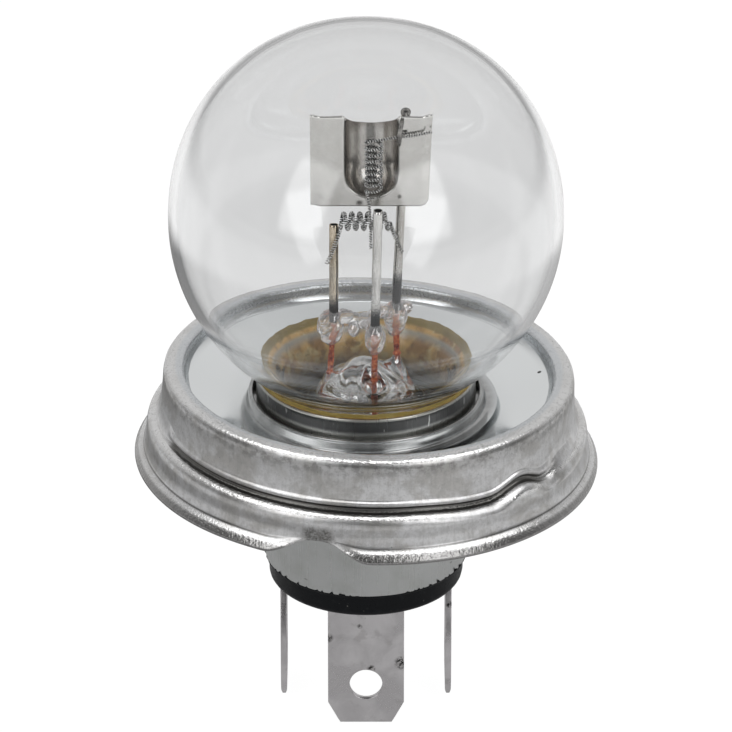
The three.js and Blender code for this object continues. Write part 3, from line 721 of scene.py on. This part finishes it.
def ring_section(azimuth):
    """Corners of the ring's section at each azimuth, (r, z, cut), closed, and how far the notch cuts in."""
    notch = smooth((NOTCH_HALF_WIDTH - np.abs(azimuth - NOTCH_AZIMUTH)) / NOTCH_SIDE)
    groove = smooth(np.minimum((azimuth - GROOVE_FROM) / 8, (GROOVE_TO - azimuth) / 16))
    # The groove dips, climbs and at its end drops steeply, into a stretch where the wall is a cone.
    rise = 0.95 * smooth((azimuth + 55.5) / 11) - 0.35 * smooth((azimuth + 78) / 20)
    rise = rise - 2.5 * smooth((azimuth + 44.5) / 18)
    cone = smooth((azimuth + 46) / 18) * smooth((-8 - azimuth) / 12)

    def corner(r, z, cut, to=None, grooved=None):
        """A corner that the notch moves to another place, or, on the ledge, the cone and the groove."""
        place = columns(r + 0 * azimuth, z)
        if to:
            share = cone if grooved else notch
            place = place + (np.array(to) - place) * share[:, None]
        if grooved:
            place = place + (columns(grooved[0], grooved[1] + rise) - place) * groove[:, None]
        return columns(*place.T, cut)

    edge, wall, inside = FLANGE_EDGE, DRUM_RADIUS, RIM_TOP - SHEET
    corners = [
        (FLANGE_RADIUS - 0.03, edge, 0.14, (wall - 0.25, 2.15)),
        (FLANGE_RADIUS, edge + 0.3, 0.18, (wall - 0.03, 2.2)),
        (22.06, edge + 0.9, 0.2, (wall, 2.3)), (21.58, edge + 1.24, 0.3, (wall, 2.5)),
        (wall, 2.85, 0.25), (21.38, 3.9, 0.3),
        (21.22, 4.5, 0.24, (21.04, 4.5), (21.22, 4.5)), (20.86, 4.84, 0.2, (20.81, 4.9), (20.84, 4.84)),
        (20.5, 4.9, 0.14, (20.64, 5.2), (20.5, 4.9)), (20.38, 5.1, 0.2, (20.5, 5.45), (20.06, 5.0)),
        (20.28, 5.4, 0.2, (20.4, 5.65), (19.92, 5.34)), (20.2, 5.7, 0.14, (20.25, 5.9), (20.28, 5.62)),
        (20.12, 6.1, 0.14, (20.12, 6.1), (20.32, 5.96)), (20, 6.9, 0.12, (20, 6.9), (20.04, 6.1)),
        (19.9, 8.3, 0.5), (19.83, RIM_TOP, 1.05), (17.95, RIM_TOP, RIM_ROLL), (17.82, 9.2, 0.35),
        (17.62, 8.72, 0.3), (*DISH_OUTER, 0.25), (*DISH_INNER, 0.12),
        (DISH_INNER[0], DISH_INNER[1] - SHEET, 0.12), (17.5, 7.9, 0.3), (18.45, 8.9, 0.3),
        (18.6, inside, 0.3), (19.33, inside, 0.3), (19.42, 8.4, 0.3), (19.45, 4.7, 0.3),
        (19.8, 4.25, 0.25), (20.75, 4.2, 0.2), (20.85, 2.7, 0.3),
        (21.0, edge + 1.35, 0.3, (20.88, 2.4)), (21.6, edge + 0.55, 0.3, (20.9, 2.25)),
        (22.1, edge, 0.12, (20.92, 2.15)),
    ]
    return np.stack([corner(*row) for row in corners], axis=-2), notch


def burrs(arc, z, azimuth):
    """How far, in mm, the drawn edges stand in or out along the ring."""
    rough_side = smooth((np.abs(azimuth + 20) - 110) / -50) * 0.6 + 0.4
    lip = bell(z, 1.25, 0.35) * ripple(arc, 0.9, 0.3) * 0.035
    ledge = bell(z, 4.6, 0.22) * ripple(arc, 1.3, 1.7) * 0.03
    rim = bell(z, 10.05, 0.3) * ripple(arc, 5.5, 0.9) * 0.012
    return (lip + ledge) * rough_side + rim


def prefocus_ring(steps=480):
    """The pressed ring, with painted shade marked in its groove and above the flange's lip."""
    azimuth = np.linspace(-180, 180, steps, endpoint=False)
    corners, notch = ring_section(azimuth)
    section = rounded(corners, closed=True)
    r, z = section[..., 0], section[..., 1]
    a = np.radians(azimuth)[:, None]
    arc = a * DRUM_RADIUS
    outside = r > 19.6
    r = r + burrs(arc, z, azimuth[:, None]) * outside * (1 - 0.7 * notch[:, None])
    z = z + 0.03 * ripple(arc, 24, 0.5) * (z < 3)
    turn = section.shape[1] // corners.shape[1]
    # Marks for painted shade: the groove's hollow and the crease above the flange's lip.
    grime = np.zeros(section.shape[:2])
    depth = smooth((corners[:, GROOVE_OUT, 0] - corners[:, GROOVE_BACK, 0]) / 0.3)[:, None]
    grime[:, GROOVE_IN * turn + 3:GROOVE_OUT * turn] = depth
    grime[:, GROOVE_OUT * turn:GROOVE_OUT * turn + 2] = 0.8 * depth
    grime[:, LIP_ROOT * turn + 2] = 0.9 * (1 - notch)
    return make("ring_body", grid(polar(r, z, a), wrap_u=True, wrap_v=True), RING, grime=grime)


def collar_sleeve():
    """A sleeve whose foot flares out onto the dish."""
    outer, inner, top = SLEEVE_RADIUS, SLEEVE_RADIUS - SHEET, SLEEVE_TOP
    slope = (DISH_OUTER[1] - DISH_INNER[1]) / (DISH_OUTER[0] - DISH_INNER[0])
    foot = DISH_INNER[1] + slope * (SLEEVE_FOOT_RADIUS - DISH_INNER[0])
    corners = [
        (inner, 5, 0.1), (outer, 5, 0.1), (outer + 0.1, 5.9, 0.2),
        (SLEEVE_FOOT_RADIUS - 0.2, foot - 0.12, 0.02), (SLEEVE_FOOT_RADIUS, foot + 0.03, 0.02),
        (outer + 0.05, DISH_INNER[1] + 0.1, 1.1),
        (outer - 0.02, top - 0.25, 0.2), (outer - 0.12, top, 0.1),
        (inner + 0.08, top, 0.1), (inner, top - 0.3, 0.2),
    ]
    return make("sleeve_collar", turned(rounded(corners, True, 8), 192, closed=True))


def cap_shell():
    """A tube that widens above the ring, with a bead below its mouth."""
    foot, neck, wall = SHELL_FOOT_RADIUS, SHELL_FOOT_RADIUS + 0.12, SHELL_WALL
    outer, inner, top = SHELL_RADIUS, SHELL_RADIUS - SHELL_WALL, SHELL_TOP
    corners = [
        (foot, SHELL_BOTTOM, 0.1), (foot + 0.02, -4, 1), (neck, 0.6, 0.8), (outer, 2.4, 0.7),
        (outer, 7.3, 0.3), (outer + 0.04, 7.55, 0.3), (outer, 7.8, 0.3), (outer, top - 0.5, 0.2),
        (outer + 0.05, top - 0.18, 0.14), (outer - 0.04, top, 0.08), (inner + 0.04, top, 0.08),
        (inner, top - 0.2, 0.1), (inner, 2.6, 0.7), (neck - wall, 0.7, 0.7), (foot - wall, -4, 1),
        (foot - wall, SHELL_BOTTOM, 0.1),
    ]
    return make("shell_body", turned(rounded(corners, True), 240, closed=True))


def solder_joint(number, degrees):
    """A lump of solder on the shell, at an azimuth in degrees."""
    a = radians(degrees)
    middle = (SHELL_RADIUS + 0.2) * np.array([cos(a), sin(a), 0]) + (0, 0, 5.5)
    vertices, faces = ball((0, 0, 0), (0.42, 1.75, 0.85), 32)
    lumps = 1 + 0.07 * ripple(vertices[:, 1] * 3 + vertices[:, 2] * 5, 2.2, number)
    turn = np.array([[cos(a), -sin(a), 0], [sin(a), cos(a), 0], [0, 0, 1]])
    return make(f"solder_fill_{number}", ((vertices * lumps[:, None]) @ turn.T + middle, faces))


# ---- Cap: cement, insulator, blades ----

def cement_ring(steps=288):
    """The cement between neck and shell, heaped unevenly over the shell's mouth."""
    gap = 0.05
    inner, outer = NECK_RADIUS + gap, SHELL_RADIUS - SHELL_WALL - gap
    corners = [
        (inner, 4.4, 0.1), (outer, 4.4, 0.1), (outer, SHELL_TOP - 0.1, 0.1),
        (SHELL_RADIUS - 0.1, SHELL_TOP + 0.03, 0.1), (10.75, 10.1, 0.15), (10.88, 10.5, 0.1),
        (10.6, 10.38, 0.1), (10.15, 9.99, 0.1), (9.62, 9.42, 0.1), (9.15, 8.55, 0.3), (inner, 7.4, 0.3),
    ]
    section = rounded(corners, True)
    a = full_turn(steps)[:, None]
    r, z = section.T[:, None]
    fillet = smooth((z - 9.9) / 0.3) * smooth((r - 10.3) / 0.3)
    r = r + fillet * (0.1 * ripple(a * 10, 7, 0.4) + 0.05 * ripple(a * 10, 1.7, 1.1) - 0.1)
    z = z + fillet * 0.06 * ripple(a * 10, 3.1, 2.2)
    return make("cement_fill", grid(polar(r, z, a), wrap_u=True, wrap_v=True))


def insulator(steps=240):
    """A moulded disc with a torn flash of resin under the shell."""
    radius, low, rim = INSULATOR_RADIUS, INSULATOR_BOTTOM, SHELL_BOTTOM
    corners = [
        (0.001, low + 0.12, 0), (5.4, low + 0.12, 0.1), (5.6, low, 0.1), (radius - 0.3, low, 0.3),
        (radius, low + 0.4, 0.3), (radius + 0.02, rim - 0.35, 0.1), (radius + 0.14, rim - 0.12, 0.08),
        (radius + 0.1, rim - 0.02, 0.05), (radius - 0.16, rim - 0.02, 0.02),
        (radius - 0.16, -8, 0.05), (0.001, -8, 0),
    ]
    section = rounded(corners, False)
    a = full_turn(steps)[:, None]
    r, z = section.T[:, None]
    flash = smooth((r - radius + 0.02) / 0.1) * smooth((z - rim + 0.4) / 0.2)
    torn = ripple(a * 9.5, 0.9, 0.6) * smooth((ripple(a * 9.5, 11.0, 2.4) + 0.35) / 0.5)
    r = r + flash * (0.26 + 0.26 * torn)
    z = z + flash * 0.42 * np.clip(torn + 0.15, 0, None)
    side = smooth((r - radius + 0.25) / 0.2)
    r = r + side * 0.02 * ripple(a * 9 + z * 0.7, 3.0, 0.2)
    return make("insulator_disc", grid(polar(r, z, a), wrap_u=True))


def blade(side):
    """A stamped blade with rounded edges and a coined tip, cut from a filled curve."""
    half, low = BLADE_WIDTH / 2, BLADE_BOTTOM
    cut_width, cut_height = BLADE_CORNER
    outline = [
        (-half + cut_width, low), (half - cut_width, low), (half, low + cut_height),
        (half, BLADE_TOP), (-half, BLADE_TOP), (-half, low + cut_height),
    ]
    hole = circle(BLADE_HOLE_RADIUS, 48) + (0, low + BLADE_HOLE_HEIGHT)
    curve = bpy.data.curves.new("blade_" + side, "CURVE")
    curve.dimensions = "2D"
    curve.fill_mode = "BOTH"
    bevel = 0.07
    curve.extrude = BLADE_SHEET / 2 - bevel
    curve.bevel_depth = bevel
    curve.bevel_resolution = 2
    curve.offset = -bevel
    for loop in (outline, hole):
        line = curve.splines.new("POLY")
        line.points.add(len(loop) - 1)
        line.use_cyclic_u = True
        for point, (x, z) in zip(line.points, loop):
            point.co = (x, z, 0, 1)
    obj = added("blade_" + side, curve)
    mesh = evaluated(obj)
    bpy.data.objects.remove(obj)
    work = bmesh.new()
    work.from_mesh(mesh)
    bmesh.ops.remove_doubles(work, verts=work.verts, dist=1e-4)
    tip = 0.7
    for share in (0.25, 0.5, 0.75, 1):
        everything = work.verts[:] + work.edges[:] + work.faces[:]
        level = (0, low + tip * share, 0)
        bmesh.ops.bisect_plane(work, geom=everything, plane_co=level, plane_no=(0, 1, 0), dist=1e-4)
    for vertex in work.verts:
        coined = max(0.0, (low + tip - vertex.co.y) / tip)
        vertex.co.z *= 1 - 0.45 * coined ** 2
    bmesh.ops.recalc_face_normals(work, faces=work.faces)
    work.to_mesh(mesh)
    work.free()
    upright = Matrix.Translation((0, -BLADE_RADIUS, 0)) @ Matrix.Rotation(pi / 2, 4, "X")
    mesh.transform(LAMP @ Matrix.Rotation(radians(BLADES[side] + 90), 4, "Z") @ upright)
    mesh.shade_smooth()
    return even_shading(added("blade_" + side, mesh))


# ---- Glass ----

def bulb_profile(scale):
    """The bulb's outline from where it meets the neck to its top, shrunk towards its centre."""
    start = asin(NECK_TOP_RADIUS / GLASS_RADIUS) - pi / 2
    a = np.linspace(start, pi / 2, 110)
    power = np.where(a > 0, 2 / CROWN_POWER, 1.0)
    r = np.power(np.maximum(np.cos(a), 0), power)
    h = np.sign(a) * np.power(np.abs(np.sin(a)), power)
    r[-1] = 0
    return columns(GLASS_RADIUS * r * scale, GLASS_CENTRE + GLASS_RADIUS * h * scale)


def glass_envelope():
    """The bulb and its neck, whose inside is a little wavy, as one wall."""
    corners = [
        (NECK_RADIUS, NECK_BOTTOM, 0), (NECK_RADIUS, 7.4, 1), (9.05, 8.6, 0.6), (9.5, 9.5, 0.5),
        (NECK_TOP_RADIUS, NECK_TOP, 0),
    ]
    steps, straight_to = 4, 6.5
    flare = rounded(corners, False, steps)[:-steps - 1]
    straight = columns(NECK_RADIUS, np.linspace(NECK_BOTTOM, straight_to, 24))
    neck = np.concatenate([straight, flare[flare[:, 1] > straight_to]])
    shrink = (GLASS_RADIUS - GLASS_WALL) / GLASS_RADIUS
    inner_neck = neck - (GLASS_WALL, 0)
    inner_neck[:, 0] += 0.035 * ripple(inner_neck[:, 1], 1.1, 0.2) * smooth((10 - inner_neck[:, 1]) / 2)
    inside = np.concatenate([inner_neck, bulb_profile(shrink)])
    outside = np.concatenate([neck, bulb_profile(1)])
    return make("glass_bulb", turned(np.concatenate([inside[::-1], outside]), 224, closed=True))


def stem_height(x, y):
    """The draped top of the pressed stem, with a sheath climbing each lead."""
    r = np.hypot(x, y)
    base = 10.6 - 2.0 * smooth((r - 0.9) / 3) - 2.9 * smooth((r - 3.9) / 2.1) - 1.5 * smooth((r - 5.6) / 2.4)
    folds = 0.12 * ripple(np.hypot(x - 1.6, y + 3.2), 2.2, 0.4) * smooth((6.5 - r) / 3)
    folds = folds + 0.12 * ripple(x * 1.1 + y * 0.6, 3.4, 1.9) * smooth((7.5 - r) / 3)
    far = {name: np.hypot(x - place[0], y - place[1]) for name, place in STEMS.items()}
    sheaths = 0
    for name, height, width in (("left", 0.9, 0.62), ("front", 0.5, 0.6), ("back", 1.9, 0.75)):
        sheaths = sheaths + height * np.exp(-((far[name] / width) ** 1.6))
    collar = 0.5 * bell(far["front"], 1.25, 0.28) - 0.9 * bell(far["front"], 0, 0.85)
    mound = 0.7 * bell(x, -1.9, 1.5) * bell(y, -1.6, 1.7)
    return base + folds + sheaths + collar + mound


def stem():
    """The pressed glass stem: its draped top and the hollow under it, meeting at the edge."""
    a = full_turn(240)[:, None]
    r = np.concatenate([np.linspace(0.001, 5.5, 90), np.linspace(5.56, 8.05, 24)])[None, :]
    x, y = r * np.cos(a), r * np.sin(a)
    top = stem_height(x, y)
    r_low = r[:, ::-1]
    x_low, y_low = r_low * np.cos(a), r_low * np.sin(a)
    fall = 6.7 - 0.6 * smooth((r_low - 2.5) / 1.5) - 2.3 * smooth((r_low - 3.7) / 2.2)
    fall = fall - 0.4 * smooth((r_low - 6) / 2)
    under = np.minimum(fall + 0.02 * ripple(x_low + y_low * 0.4, 3.1, 0.7), top[:, ::-1] - 0.35)
    points = np.concatenate([columns(x, y, top), columns(x_low, y_low, under)], axis=1)
    return make("stem_flare", grid(points, wrap_u=True))


def bead_bridge():
    """Beads gathered round the posts and pulled out into a wavy bridge."""
    beads = (
        ((-3.45, 0, 14.4), (1.3, 1.1, 1.9)), ((0.87, -2.75, 14.5), (1.0, 0.95, 1.7)),
        ((2.86, 1.9, 14.5), (1.15, 1.0, 2.0)),
    )
    knot = np.array((-0.3, -0.3, 15.2))
    parts = [ball(knot, (1.1, 0.9, 0.75), 28)]
    for centre, radii in beads:
        centre = np.array(centre)
        parts.append(ball(centre, radii, 32))
        high = centre + (0, 0, 0.75)
        middle = (knot + high) / 2 + (0, 0, 0.3)
        arm = spline([knot, middle, high], 12)
        thickness = 0.6 + 0.25 * np.abs(np.linspace(-1, 1, len(arm))) ** 2
        parts.append(swept(arm, circle(1, 18), thickness))
    lumps = (
        ((-2.1, 0.3, 15.5), (0.95, 0.6, 0.7)), ((1.5, 0.9, 15.8), (0.95, 0.7, 0.6)),
        ((-3.9, -0.4, 15.3), (0.7, 0.6, 0.6)), ((3.7, 2.2, 15.5), (0.8, 0.6, 0.7)),
        ((-1.2, -0.9, 14.6), (0.6, 0.5, 0.8)),
    )
    parts += [ball(centre, radii, 20) for centre, radii in lumps]
    obj = make("bead_bridge_glass", joined(parts))
    remesh = obj.modifiers.new("one_skin", "REMESH")
    remesh.mode = "VOXEL"
    remesh.voxel_size = 0.085 * MM
    even = obj.modifiers.new("melted", "SMOOTH")
    even.factor = 0.6
    even.iterations = 5
    settle(obj)
    wobble(obj.data, 0.1, lambda x, y, z: ripple(x * 1.3 + y * 0.8 - z, 2.1, 0.8))
    obj.data.shade_smooth()
    return obj


# ---- Posts, leads, filaments ----

def post(name):
    """A rolled tube with an open seam, its edges not quite meeting. The left one is pinched at its top."""
    seam, gap = POST_SEAMS[name]
    around = np.radians(np.linspace(seam + gap / 2, seam + 360 - gap / 2, 40))
    start, end = np.array(BEAD_POINTS[name]), np.array(POST_TOPS[name])
    share = np.concatenate([[0.02], np.linspace(0.02, 1, 40), [1]])[:, None]
    outer = POST_RADIUS * (1 + 0.03 * ripple(share * 10, 3.3, len(name))) + 0 * around
    inner = POST_BORE + 0 * outer
    outer[[0, -1]] = inner[[0, -1]] = (POST_RADIUS + POST_BORE) / 2
    radius = np.concatenate([outer, inner], axis=1)
    angle = np.concatenate([around, around[::-1]])
    pinch = 1 - 0.28 * smooth((share - 0.86) / 0.12) * (name == "left")
    points = columns(radius * np.cos(angle), radius * np.sin(angle) * pinch, 0)
    points = start + (end - start) * share[..., None] + points
    bore = np.zeros(radius.shape)
    bore[1:-1, len(around):] = 1
    return make("post_tube_" + name, grid(points, wrap_v=True), bore=bore)


def lead(side):
    """A wire from a bead through the stem to its blade, thicker where the glass sheath grips it."""
    name = LEAD_OF_BLADE[side]
    low, high = np.array(STEMS[name]), np.array(BEAD_POINTS[name])
    a = radians(BLADES[side])
    away = np.array([cos(a), sin(a), 0])
    points = [
        low + (high - low) * 0.98, low + (high - low) * 0.5, low, low - (high - low) * 0.45,
        away * 3.6 + (0, 0, 1.5), away * 5.6 + (0, 0, -3.5), away * (BLADE_RADIUS - 0.68) + (0, 0, -7.3),
    ]
    line = evenly(spline(points, 16), 0.12)
    height = line[:, 2]
    ring = 0.5 * bell(height, low[2] + 1.1, 0.16)
    swell = 0.2 * bell(height, low[2] + 2.6, 1.3)
    thickness = LEAD_RADIUS * (0.88 + ring + swell + 0.05 * ripple(height, 1.7, 0.4))
    return make("lead_wire_" + side, swept(line, circle(1, 16), thickness))


def coil(centre, turns, length, phase, axis):
    """A helix that starts at phase and runs along z or x."""
    a = phase + np.linspace(0, 2 * pi * turns, turns * 16 + 1)
    across = COIL_RADIUS * columns(np.cos(a), np.sin(a))
    rise = np.linspace(0, length, len(a))
    if axis == "z":
        return columns(centre[0] + across[:, 0], centre[1] + across[:, 1], centre[2] + rise)
    return columns(centre[0] + rise, centre[1] + across[:, 0], centre[2] + across[:, 1])


def filament(name, start, turns, end, strand_radius, behind):
    """A wire wound finely, and that winding wound again into the filament's coil, dark inside and behind."""
    line = np.concatenate([spline([*start, turns[0]], 24)[:-1], turns, spline([turns[-1], *end], 24)[1:]])
    sides = 6
    strand = wound(line, strand_radius, STRAND_PITCH, 10)
    middle = evenly(line, STRAND_PITCH / 10)
    vertices, faces = swept(strand, circle(STRAND_WIRE, sides))
    core = np.repeat(np.concatenate([middle[:1], middle, middle[-1:]]), sides, axis=0)
    inner = smooth((strand_radius + 0.03 - np.linalg.norm(vertices - core, axis=1)) / 0.05)
    low, high = turns.min(axis=0) - strand_radius, turns.max(axis=0) + strand_radius
    in_turns = np.all((core > low) & (core < high), axis=1)
    back = smooth((core[:, 1] - behind) / 0.25) * in_turns
    return make(name, (vertices, faces), shaded=np.maximum(inner, 0.9 * back))


def passing_filament():
    """The upright coil in the cup, from the front post to the clip."""
    start = [(0.44, -2.62, 24.1), (0.42, -1.95, 26.2), (0.25, -1.25, 28.3)]
    end = [(1.4, -0.1, 34.25), (2.6, 0.1, 34.4), (4.4, 0.15, 34.6), (6.2, 0.15, 35)]
    turns = coil((0.73, -0.25, 29.1), 8, 5, pi, "z")
    return filament("passing_coil", start, turns, end, strand_radius=0.115, behind=-0.15)


def driving_filament():
    """The level coil below the cup, from the left post to the back post."""
    start = [(-3.75, -0.68, 21.6), (-3.1, -0.66, 23.2), (-2.6, -0.35, 24.6)]
    end = [(2.25, 0.55, 25.3), (2.7, 0.95, 23.9), (3.5, 1.02, 21.9)]
    turns = coil((-2.45, 0, 25.75), 6, 4.6, -pi / 2, "x")
    return filament("driving_coil", start, turns, end, strand_radius=0.17, behind=0.35)


# ---- Shield ----

def shield():
    """A polished plate with a rounded cup pressed into it and side strips bent back."""
    def share(value):
        return np.power(np.clip(value, 0, None), 0.6)

    left, right = SHIELD_LEFT + FLAP_WIDTH, SHIELD_RIGHT - FLAP_WIDTH
    z = np.concatenate([
        np.linspace(SHIELD_BOTTOM, CUP_FLOOR, 8, endpoint=False),
        CUP_FLOOR + CUP_RADIUS * (1 - np.cos(np.linspace(0, pi / 2, 36, endpoint=False))),
        np.linspace(CUP_FLOOR + CUP_RADIUS, SHIELD_TOP, 48),
    ])[:, None]
    below = np.minimum(0, z - CUP_FLOOR - CUP_RADIUS) / CUP_RADIUS
    width = np.sqrt(np.clip(1 - below * below, 0, None))
    across = -np.cos(np.linspace(0, pi, 72))[None, :]
    cup_x = CUP_CENTRE + CUP_RADIUS * across * np.maximum(width, 0.12)

    def stretch(start, end, steps):
        """Even steps along each row from start up to end, which is left out."""
        return np.linspace(start + 0 * z[:, 0], end + 0 * z[:, 0], steps, endpoint=False, axis=1)

    step = FLAP_WIDTH / 8
    x = np.concatenate([
        stretch(SHIELD_LEFT, left, 8), stretch(left, cup_x[:, 0], 16), cup_x,
        stretch(cup_x[:, -1], right, 16), stretch(right + step, SHIELD_RIGHT + step, 8),
    ], axis=1)
    inside = np.clip(1 - ((x - CUP_CENTRE) / (CUP_RADIUS * np.maximum(width, 0.12))) ** 2, 0, None)
    pressed = share(inside)
    up = (z - SHIELD_BOTTOM) / (SHIELD_TOP - SHIELD_BOTTOM)
    flap = smooth(np.maximum(left - x, x - right) / FLAP_WIDTH + 0.25) * FLAP_BACK
    depth = CUP_DEPTH * pressed * share(width ** 2)
    y = SHIELD_PLANE + flap + depth
    x = x - 0.35 * (1 - up) * np.clip(x - right, 0, None) / FLAP_WIDTH
    corner = smooth((x - SHIELD_RIGHT + 1.3) / 1.3) * smooth((SHIELD_BOTTOM + 1.4 - z) / 1.4)
    z_front = z - CUP_LIP_DROP * pressed * up ** 4 + 0.7 * corner ** 2
    z_front = z_front + 0.04 * ripple(x, 3.3, 0.6) * smooth((up - 0.9) / 0.1)
    front = columns(x, y, z_front)
    obj = make("shield_cup", grid(front))
    sheet = obj.modifiers.new("sheet", "SOLIDIFY")
    sheet.thickness = SHIELD_SHEET * MM
    sheet.offset = 0
    return settle(obj)


def filament_clip():
    """A folded strip that pinches the upper lead, with a loop standing above the plate."""
    strip = [(-0.22, -0.12), (0.22, -0.12), (0.22, 0.12), (-0.22, 0.12)]
    fold = [(3.05, 0.35, 33.7), (3.15, -0.05, 34.2), (3.2, -0.12, 35.2), (3.35, 0.1, 36.0), (3.3, 0.4, 35.4)]
    turn = np.radians(np.linspace(-60, 250, 30))
    loop = columns(3.75 + 0.34 * np.cos(turn), 0.9, 36.72 + 0.3 * np.sin(turn))
    tail = spline([(3.9, 0.05, 34.75), (3.3, -0.15, 34.6), (3.1, -0.05, 34.1), (3.2, 0.2, 33.6)], 10)
    parts = [
        swept(spline(fold, 10), strip),
        swept(loop, circle(0.16, 10)),
        swept(tail, circle(0.14, 10), np.linspace(0.7, 1, len(tail))),
    ]
    return make("clip_fold", joined(parts))


# ---- Stage, light, camera ----

def soft_box(name, azimuth, elevation, width, height):
    """A lamp with soft borders. It lights and is mirrored, and neither hides nor shows in a straight view."""
    f = Finish(name)
    across, along, _ = f.split(f.add("TexCoord", out="Generated"))
    falls = [f.span(f.math("PINGPONG", share, 0.5), 0, 0.16) for share in (across, along)]
    clear = f.add("BsdfTransparent")
    light = f.add("AddShader", {0: f.emission(f.both(*falls, BOX_RADIANCE)), 1: clear})
    mesh = bpy.data.meshes.new(name)
    x, y = width / 2, height / 2
    mesh.from_pydata([(-x, -y, 0), (x, -y, 0), (x, y, 0), (-x, y, 0)], [], [(0, 1, 2, 3)])
    mesh.materials.append(f.done(f.either(f.seen(), light, clear)))
    obj = added(name, mesh)
    a, e = radians(azimuth), radians(elevation)
    away = Vector((sin(a) * cos(e), -cos(a) * cos(e), sin(e)))
    obj.location = Vector((0, 0, 0.01)) + away * BOX_DISTANCE
    obj.rotation_euler = away.to_track_quat("Z", "Y").to_euler()
    obj.visible_camera = False
    return obj


def floor():
    """A round pale floor under the blades' tips. Metal mirrors it greyer, darker to the left and far off."""
    a = full_turn(96)[:, None]
    r = np.array([2.5, 0.8, 0.2, 0.0001])
    level = cad_box[0].z - 0.0002
    obj = make("floor", grid(polar(r, level, a), wrap_u=True), Matrix.Identity(4))
    f = Finish("floor", Matrix.Scale(MM, 4))
    across = f.span(f.x, -70, 70, 0.24, 0.52)
    inner = f.blend(f.span(f.radius, 60, 45), across, 0.415)
    outer = f.blend(f.span(f.radius, 95, 122), inner, 0.95)
    grey = f.both(outer, f.span(f.radius, 200, 500, 1.0, 0.4))
    white = f.emission(f.both(f.backdrop(), 0.97))
    matte = f.add("BsdfDiffuse", {"Color": (0.12, 0.12, 0.12, 1)})
    pale = f.add("AddShader", {0: white, 1: matte})
    obj.data.materials.append(f.done(f.either(f.seen(), f.emission(grey), pale)))


def studio():
    """Plain soft light: bright behind and above, dim in front, white where it is seen directly."""
    world = bpy.data.worlds.new("studio")
    bpy.context.scene.world = world
    world.use_nodes = True
    f = Nodes(world.node_tree)
    _, y, z = f.split(f.add("TexCoord", out="Generated"))
    behind = f.span(y, -0.5, 0.85, 0.12, 0.84)
    above = f.span(z, 0.35, 1.0, 0.0, 0.12)
    light = f.add("Background", {"Strength": f.math("ADD", behind, above)})
    white = f.add("Background", {"Color": (1, 1, 1, 1), "Strength": f.backdrop()})
    f.add("OutputWorld", {"Surface": f.either(f.seen(), light, white)}, out=None)


def camera():
    """Seen from the front and above, upright to the lamp, so the ring looks slightly tilted."""
    elevation, distance, rise, lens = radians(26.8), 600, 9.16, 303.4
    data = bpy.data.cameras.new("camera")
    data.lens = lens
    data.sensor_width = 36
    obj = added("camera", data)
    tilt = Matrix.Rotation(pi / 2 - elevation, 4, "X")
    back = tilt @ Vector((0, rise, distance))
    placed = LAMP @ Matrix.Translation(back) @ tilt
    obj.matrix_world = Matrix.LocRotScale(placed.translation, placed.to_quaternion(), None)
    bpy.context.scene.camera = obj


# ---- Assembly ----

camera()
studio()
floor()
soft_box("box_left", azimuth=-40, elevation=27, width=0.38, height=0.66)
soft_box("box_right", azimuth=38, elevation=27, width=0.38, height=0.66)
box_over = soft_box("box_over", azimuth=0, elevation=84, width=1.7, height=0.5)
bpy.context.scene.view_settings.view_transform = "Standard"

cap_steel = shell_finish()
bulb_glass = glass_finish("bulb_glass", (0.96, 0.963, 0.965), 0.02, 0.12)
stem_glass = glass_finish("stem_glass", (0.95, 0.95, 0.945), 0.005, 0.4, silver=0.5)
milk = (0.95, 0.9, 0.89)
bridge_glass = glass_finish("bridge_glass", (0.95, 0.94, 0.935), 0.015, 0.7, silver=0.35, milk=milk)
solder = solder_finish()
tinned = terminal_finish()
copper = copper_finish()
tungsten = tungsten_finish()
polished = shield_finish()
clip_nickel = post_finish("clip_nickel", (0.42, 0.41, 0.39), -1, -2, (0.2, 0.19, 0.18))
post_finishes = {
    "left": post_finish("post_left", (0.72, 0.64, 0.52), 18.6, 16.8, (0.52, 0.43, 0.31)),
    "front": post_finish("post_front", (0.86, 0.85, 0.83), 18.8, 16.9, (0.7, 0.69, 0.66)),
    "back": post_finish("post_back", (0.84, 0.82, 0.79), 20.5, 18.5, (0.7, 0.67, 0.62)),
}

install(even_shading(prefocus_ring()), ring_finish(), "ring_steel", "prefocus_ring")
install(even_shading(collar_sleeve()), sleeve_finish(), "cap_steel", "collar_sleeve")
install(even_shading(cap_shell()), cap_steel, "cap_steel", "cap_shell")
install(cement_ring(), cement_finish(), "cement", "cement_ring")
install(insulator(), insulator_finish(), "insulator", "insulator")
install(glass_envelope(), bulb_glass, "bulb_glass", "glass_envelope")
install(stem(), stem_glass, "stem_glass", "stem")
install(bead_bridge(), bridge_glass, "stem_glass", "bead_bridge")
install(passing_filament(), tungsten, "tungsten", "passing_filament")
install(driving_filament(), tungsten, "tungsten", "driving_filament")
install(shield(), polished, "shield_plate", "shield")
install(filament_clip(), clip_nickel, "post_nickel", "filament_clip")
for side in BLADES:
    install(blade(side), tinned, "terminal_plate", "terminal_" + side)
    install(lead(side), copper, "lead_copper", "lead_" + side)
for name in POST_TOPS:
    install(post(name), post_finishes[name], "post_nickel", "post_" + name)
for number, degrees in enumerate((30, 150, -90), 1):
    install(solder_joint(number, degrees), solder, "solder", f"ring_joint_{number}")

# The upper box lights the metal and the cement only, so it draws no arc on the glass.
lit = bpy.data.collections.new("box_over_lights")
for name in ("ring_body", "shell_body", "shield_cup", "cement_fill", *["blade_" + side for side in BLADES]):
    lit.objects.link(bpy.data.objects[name])
box_over.light_linking.receiver_collection = lit
